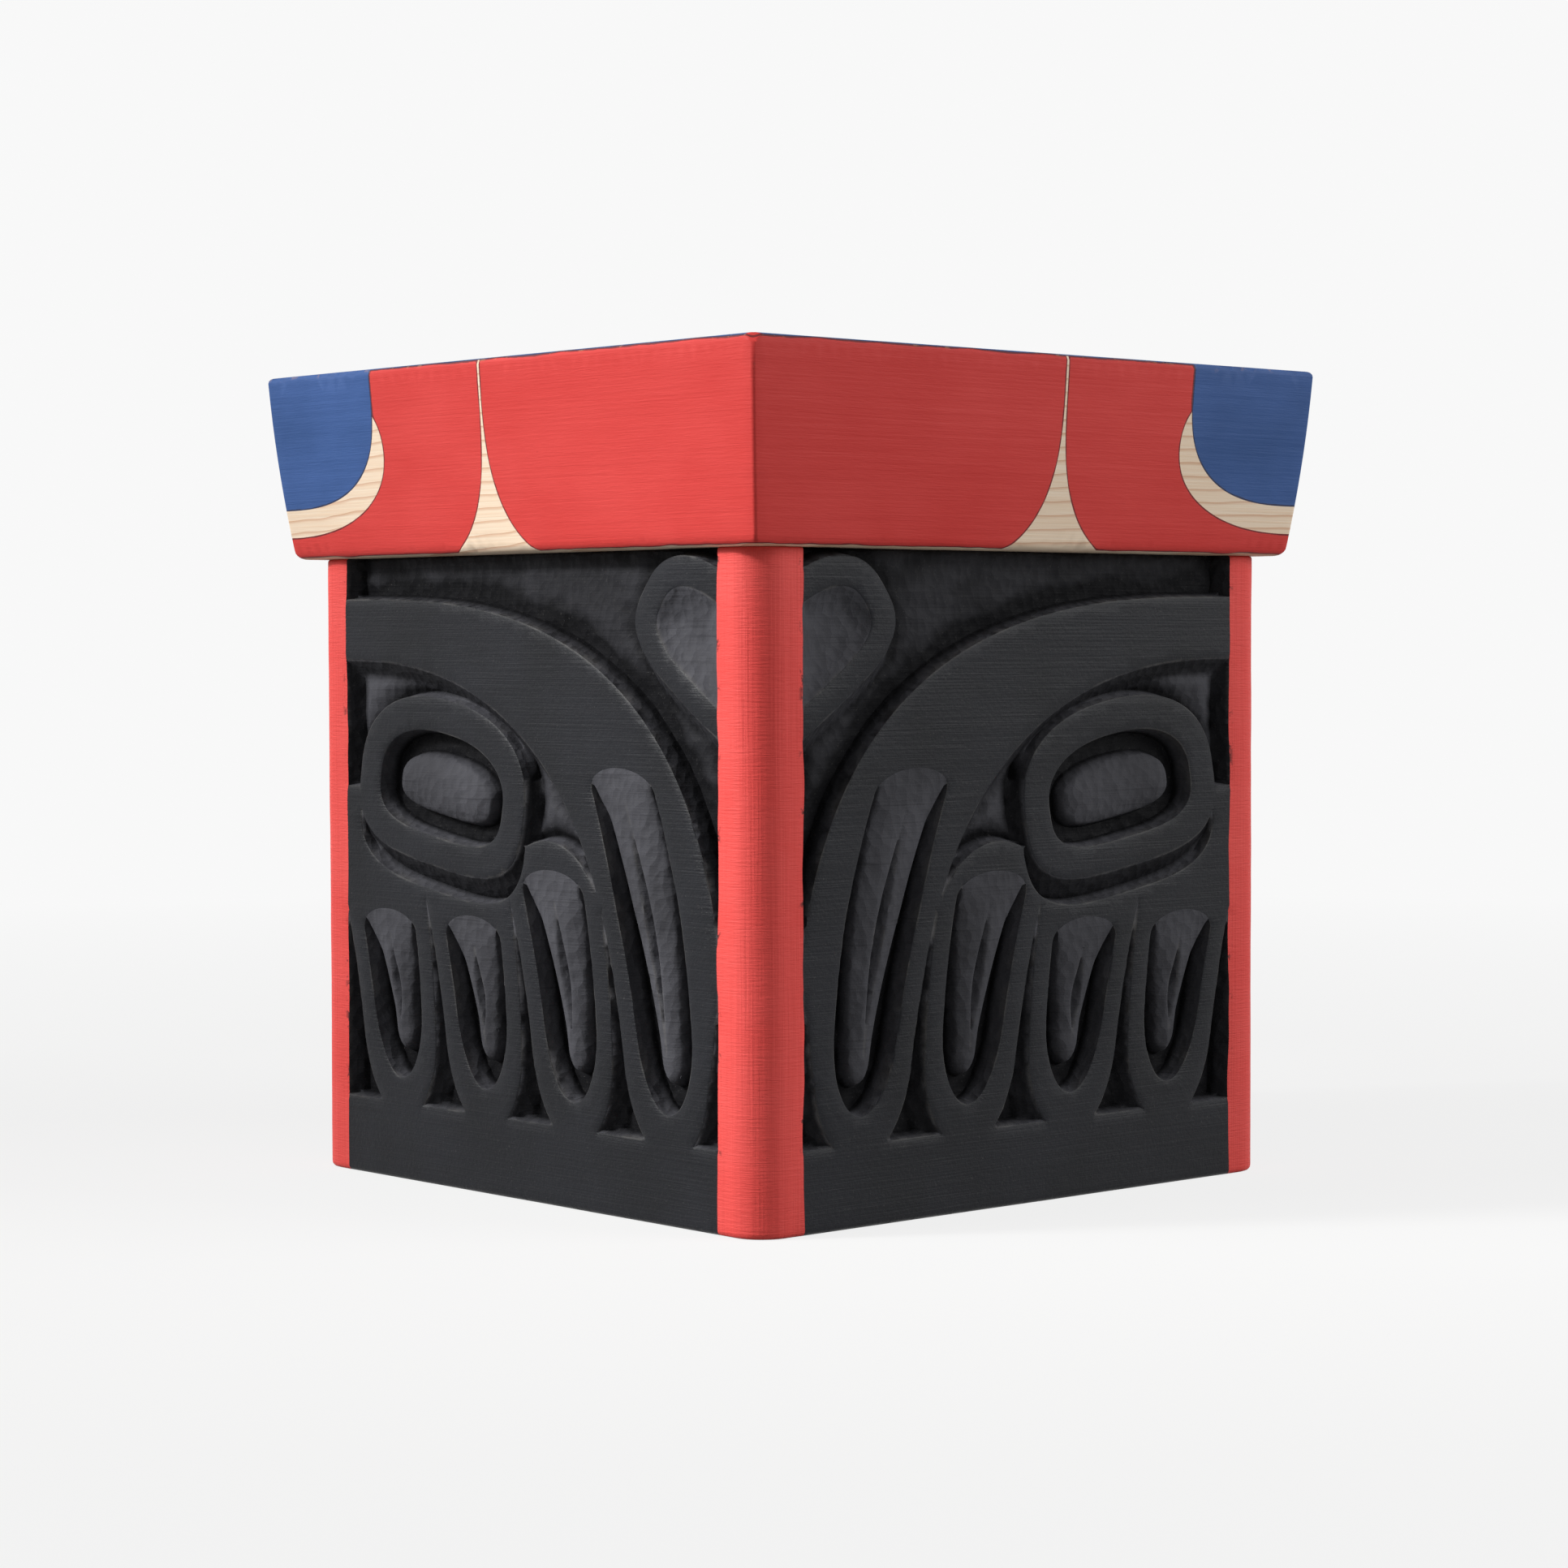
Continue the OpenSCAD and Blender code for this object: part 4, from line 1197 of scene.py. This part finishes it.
def pegTree():
    tree = bpy.data.node_groups.new("whittledPegs", "GeometryNodeTree")
    sockets = tree.interface
    sockets.new_socket("Geometry", in_out="INPUT", socket_type="NodeSocketGeometry")
    for name, kind in (("Radius", "Float"), ("Length", "Float"), ("Dome", "Float"), ("Roughness", "Float"),
                       ("Turn", "Vector"), ("Seed", "Int"), ("Material", "Material")):
        sockets.new_socket(name, in_out="INPUT", socket_type="NodeSocket" + kind)
    sockets.new_socket("Geometry", in_out="OUTPUT", socket_type="NodeSocketGeometry")
    given = addNode(tree, "NodeGroupInput", give=None).outputs
    stick = addNode(tree, "GeometryNodeMeshCylinder", {
        "Vertices": 16, "Side Segments": 7, "Fill Segments": 4, "Radius": given["Radius"],
        "Depth": given["Length"]}, None, fill_type="TRIANGLE_FAN").outputs
    where = addNode(tree, "GeometryNodeInputPosition")
    noise = addNode(tree, "ShaderNodeTexNoise", {
        "Vector": where, "Scale": pegs["shaveScale"], "Detail": 1.0}, "Color")
    centred = addNode(tree, "ShaderNodeVectorMath", {0: noise, 1: (0.5, 0.5, 0.5)}, operation="SUBTRACT")
    shaved = addNode(tree, "ShaderNodeVectorMath", {
        0: centred, "Scale": given["Roughness"]}, operation="SCALE")
    rough = addNode(tree, "GeometryNodeSetPosition", {"Geometry": stick["Mesh"], "Offset": shaved})
    flat = addNode(tree, "ShaderNodeVectorMath", {0: where, 1: (1, 1, 0)}, operation="MULTIPLY")
    reach = addNode(tree, "ShaderNodeVectorMath", {0: flat}, "Value", operation="LENGTH")
    share = addNode(tree, "ShaderNodeMath", {0: reach, 1: given["Radius"]}, operation="DIVIDE")
    square = addNode(tree, "ShaderNodeMath", {0: share, 1: 2.0}, operation="POWER")
    left = addNode(tree, "ShaderNodeMath", {0: 1.0, 1: square}, operation="SUBTRACT")
    rise = addNode(tree, "ShaderNodeMath", {0: left, 1: given["Dome"]}, operation="MULTIPLY")
    lift = addNode(tree, "ShaderNodeCombineXYZ", {"Z": rise})
    domed = addNode(tree, "GeometryNodeSetPosition", {
        "Geometry": rough, "Selection": stick["Top"], "Offset": lift})
    back = addNode(tree, "ShaderNodeMath", {0: given["Length"], 1: -0.5}, operation="MULTIPLY")
    down = addNode(tree, "ShaderNodeCombineXYZ", {"Z": back})
    peg = addNode(tree, "GeometryNodeTransform", {"Geometry": domed, "Translation": down})
    placed = addNode(tree, "GeometryNodeInstanceOnPoints", {
        "Points": given["Geometry"], "Instance": peg, "Rotation": given["Turn"]})
    spin = addNode(tree, "FunctionNodeRandomValue", {2: 0.0, 3: 2 * math.pi, "Seed": given["Seed"]}, 1,
                   data_type="FLOAT")
    about = addNode(tree, "ShaderNodeCombineXYZ", {"Z": spin})
    spun = addNode(tree, "GeometryNodeRotateInstances", {"Instances": placed, "Rotation": about})
    real = addNode(tree, "GeometryNodeRealizeInstances", {"Geometry": spun})
    finished = addNode(tree, "GeometryNodeSetMaterial", {"Geometry": real, "Material": given["Material"]})
    addNode(tree, "NodeGroupOutput", {"Geometry": finished}, None)
    return tree


def setPegs(name, tree):
    kind = pegs[name]
    axis, across = kind["axis"], (kind["axis"] + 1) % 3
    nodes = sorted(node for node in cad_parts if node.startswith(kind["start"]))
    heads = []
    for low, high in map(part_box, nodes):
        head = [(a + b) / 2 for a, b in zip(low, high)]
        head[axis] = (high if kind["head"] == "high" else low)[axis]
        heads.append(head)
    low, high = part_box(nodes[0])
    mesh = bpy.data.meshes.new(name)
    mesh.from_pydata(heads, [], [])
    piece = bpy.data.objects.new(name, mesh)
    scene.collection.objects.link(piece)
    modifier = piece.modifiers.new("pegs", "NODES")
    modifier.node_group = tree
    identifiers = {item.name: item.identifier for item in tree.interface.items_tree if item.in_out == "INPUT"}
    sizes = {"Radius": (high[across] - low[across]) / 2, "Length": high[axis] - low[axis],
             "Dome": pegs["dome"] * mm, "Roughness": pegs["roughness"] * mm,
             "Turn": kind["turn"], "Seed": kind["seed"], "Material": pegWood}
    for label, value in sizes.items():
        modifier[identifiers[label]] = value
    evaluated = piece.evaluated_get(bpy.context.evaluated_depsgraph_get())
    plain = bpy.data.meshes.new_from_object(evaluated)
    piece.modifiers.remove(modifier)
    piece.data = plain
    plain.shade_smooth()
    plain.set_sharp_from_angle(angle=math.radians(pegs["sharp"]))
    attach(piece, "box_body")
    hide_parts(*nodes)
    print(name, "made:", len(nodes), "pegs")


whittledPegs = pegTree()
setPegs("cornerPegs", whittledPegs)
setPegs("basePegs", whittledPegs)


# Floor and light

light = dict(
    world=0.2, seen=0.94, paper="#ececea", paperBounce="#8c8c8a", nearShare=0.86, nearEdge=0.5, farEdge=1.5,
    floorReach=9.0, aimHeight=0.13, away=2.6,
    key=dict(kind="AREA", power=34.7, size=1.5, left=0.9, front=0.18, up=0.6),
    accent=dict(kind="SPOT", power=345.0, size=0.25, left=0.9, front=0.18, up=0.55, beam=14.0),
    fill=dict(kind="AREA", power=35.0, size=1.6, left=-0.9, front=0.12, up=0.45))


# Rays that show the backdrop itself: to the eye, in gloss and through glass
def seenRays(tree):
    path = addNode(tree, "ShaderNodeLightPath", give=None).outputs
    gloss = addNode(tree, "ShaderNodeMath", {
        0: path["Is Camera Ray"], 1: path["Is Glossy Ray"]}, operation="MAXIMUM")
    return addNode(tree, "ShaderNodeMath", {0: gloss, 1: path["Is Transmission Ray"]}, operation="MAXIMUM")


# Matt white paper: seen near white, with the shadow of the box left on it
def paperSweep():
    material, tree = newMaterial("paperSweep")
    seen = seenRays(tree)
    place = addNode(tree, "ShaderNodeTexCoord", give="Object")
    away = addNode(tree, "ShaderNodeVectorMath", {0: place}, "Value", operation="LENGTH")
    white = addNode(tree, "ShaderNodeMapRange", {
        0: away, 1: light["nearEdge"], 2: light["farEdge"], 3: light["nearShare"], 4: 1.0})
    share = addNode(tree, "ShaderNodeMath", {0: seen, 1: white}, operation="MULTIPLY")
    shown, bounced = linearColour(light["paper"]), linearColour(light["paperBounce"])
    colour = addNode(tree, "ShaderNodeMix", {0: seen, 6: bounced, 7: shown}, 2, data_type="RGBA")
    paper = addNode(tree, "ShaderNodeBsdfDiffuse", {"Color": colour, "Roughness": 0.5})
    glow = addNode(tree, "ShaderNodeEmission", {"Color": (1, 1, 1, 1), "Strength": light["seen"]})
    mixed = addNode(tree, "ShaderNodeMixShader", {0: share, 1: paper, 2: glow})
    addNode(tree, "ShaderNodeOutputMaterial", {"Surface": mixed}, None)
    return material


def makeFloor():
    reach = light["floorReach"]
    mesh = bpy.data.meshes.new("floor")
    corners = [(-reach, -reach, 0), (reach, -reach, 0), (reach, reach, 0), (-reach, reach, 0)]
    mesh.from_pydata(corners, [], [(0, 1, 2, 3)])
    mesh.materials.append(paperSweep())
    floor = bpy.data.objects.new("floor", mesh)
    scene.collection.objects.link(floor)


def setWorld():
    world = bpy.data.worlds.new("studio")
    world.use_nodes = True
    tree = world.node_tree
    tree.nodes.clear()
    soft, seen = (addNode(tree, "ShaderNodeBackground", {"Color": (1, 1, 1, 1), "Strength": light[name]})
                  for name in ("world", "seen"))
    mixed = addNode(tree, "ShaderNodeMixShader", {0: seenRays(tree), 1: soft, 2: seen})
    addNode(tree, "ShaderNodeOutputWorld", {"Surface": mixed}, None)
    scene.world = world


# A lamp placed as seen from the camera, to the left, to the front and up, and turned to the box's front
# corner: a soft box, or a spot whose beam fades from its middle outwards
def setLamp(name):
    lamp = light[name]
    yaw = math.radians(view["yaw"])
    left = Vector((-math.cos(yaw), math.sin(yaw), 0))
    front = Vector((-math.sin(yaw), -math.cos(yaw), 0))
    way = (left * lamp["left"] + front * lamp["front"] + Vector((0, 0, lamp["up"]))).normalized()
    data = bpy.data.lights.new(name, lamp["kind"])
    data.energy = lamp["power"]
    if lamp["kind"] == "SPOT":
        data.shadow_soft_size = lamp["size"]
        data.spot_size = math.radians(lamp["beam"])
        data.spot_blend = 1.0
    else:
        data.size = lamp["size"]
    placed = bpy.data.objects.new(name, data)
    placed.location = Vector((plankLow.x, plankLow.y, light["aimHeight"])) + way * light["away"]
    placed.rotation_euler = (-way).to_track_quat("-Z", "Y").to_euler()
    scene.collection.objects.link(placed)


makeFloor()
setWorld()
for name in ("key", "accent", "fill"):
    setLamp(name)
print("floor and light set")
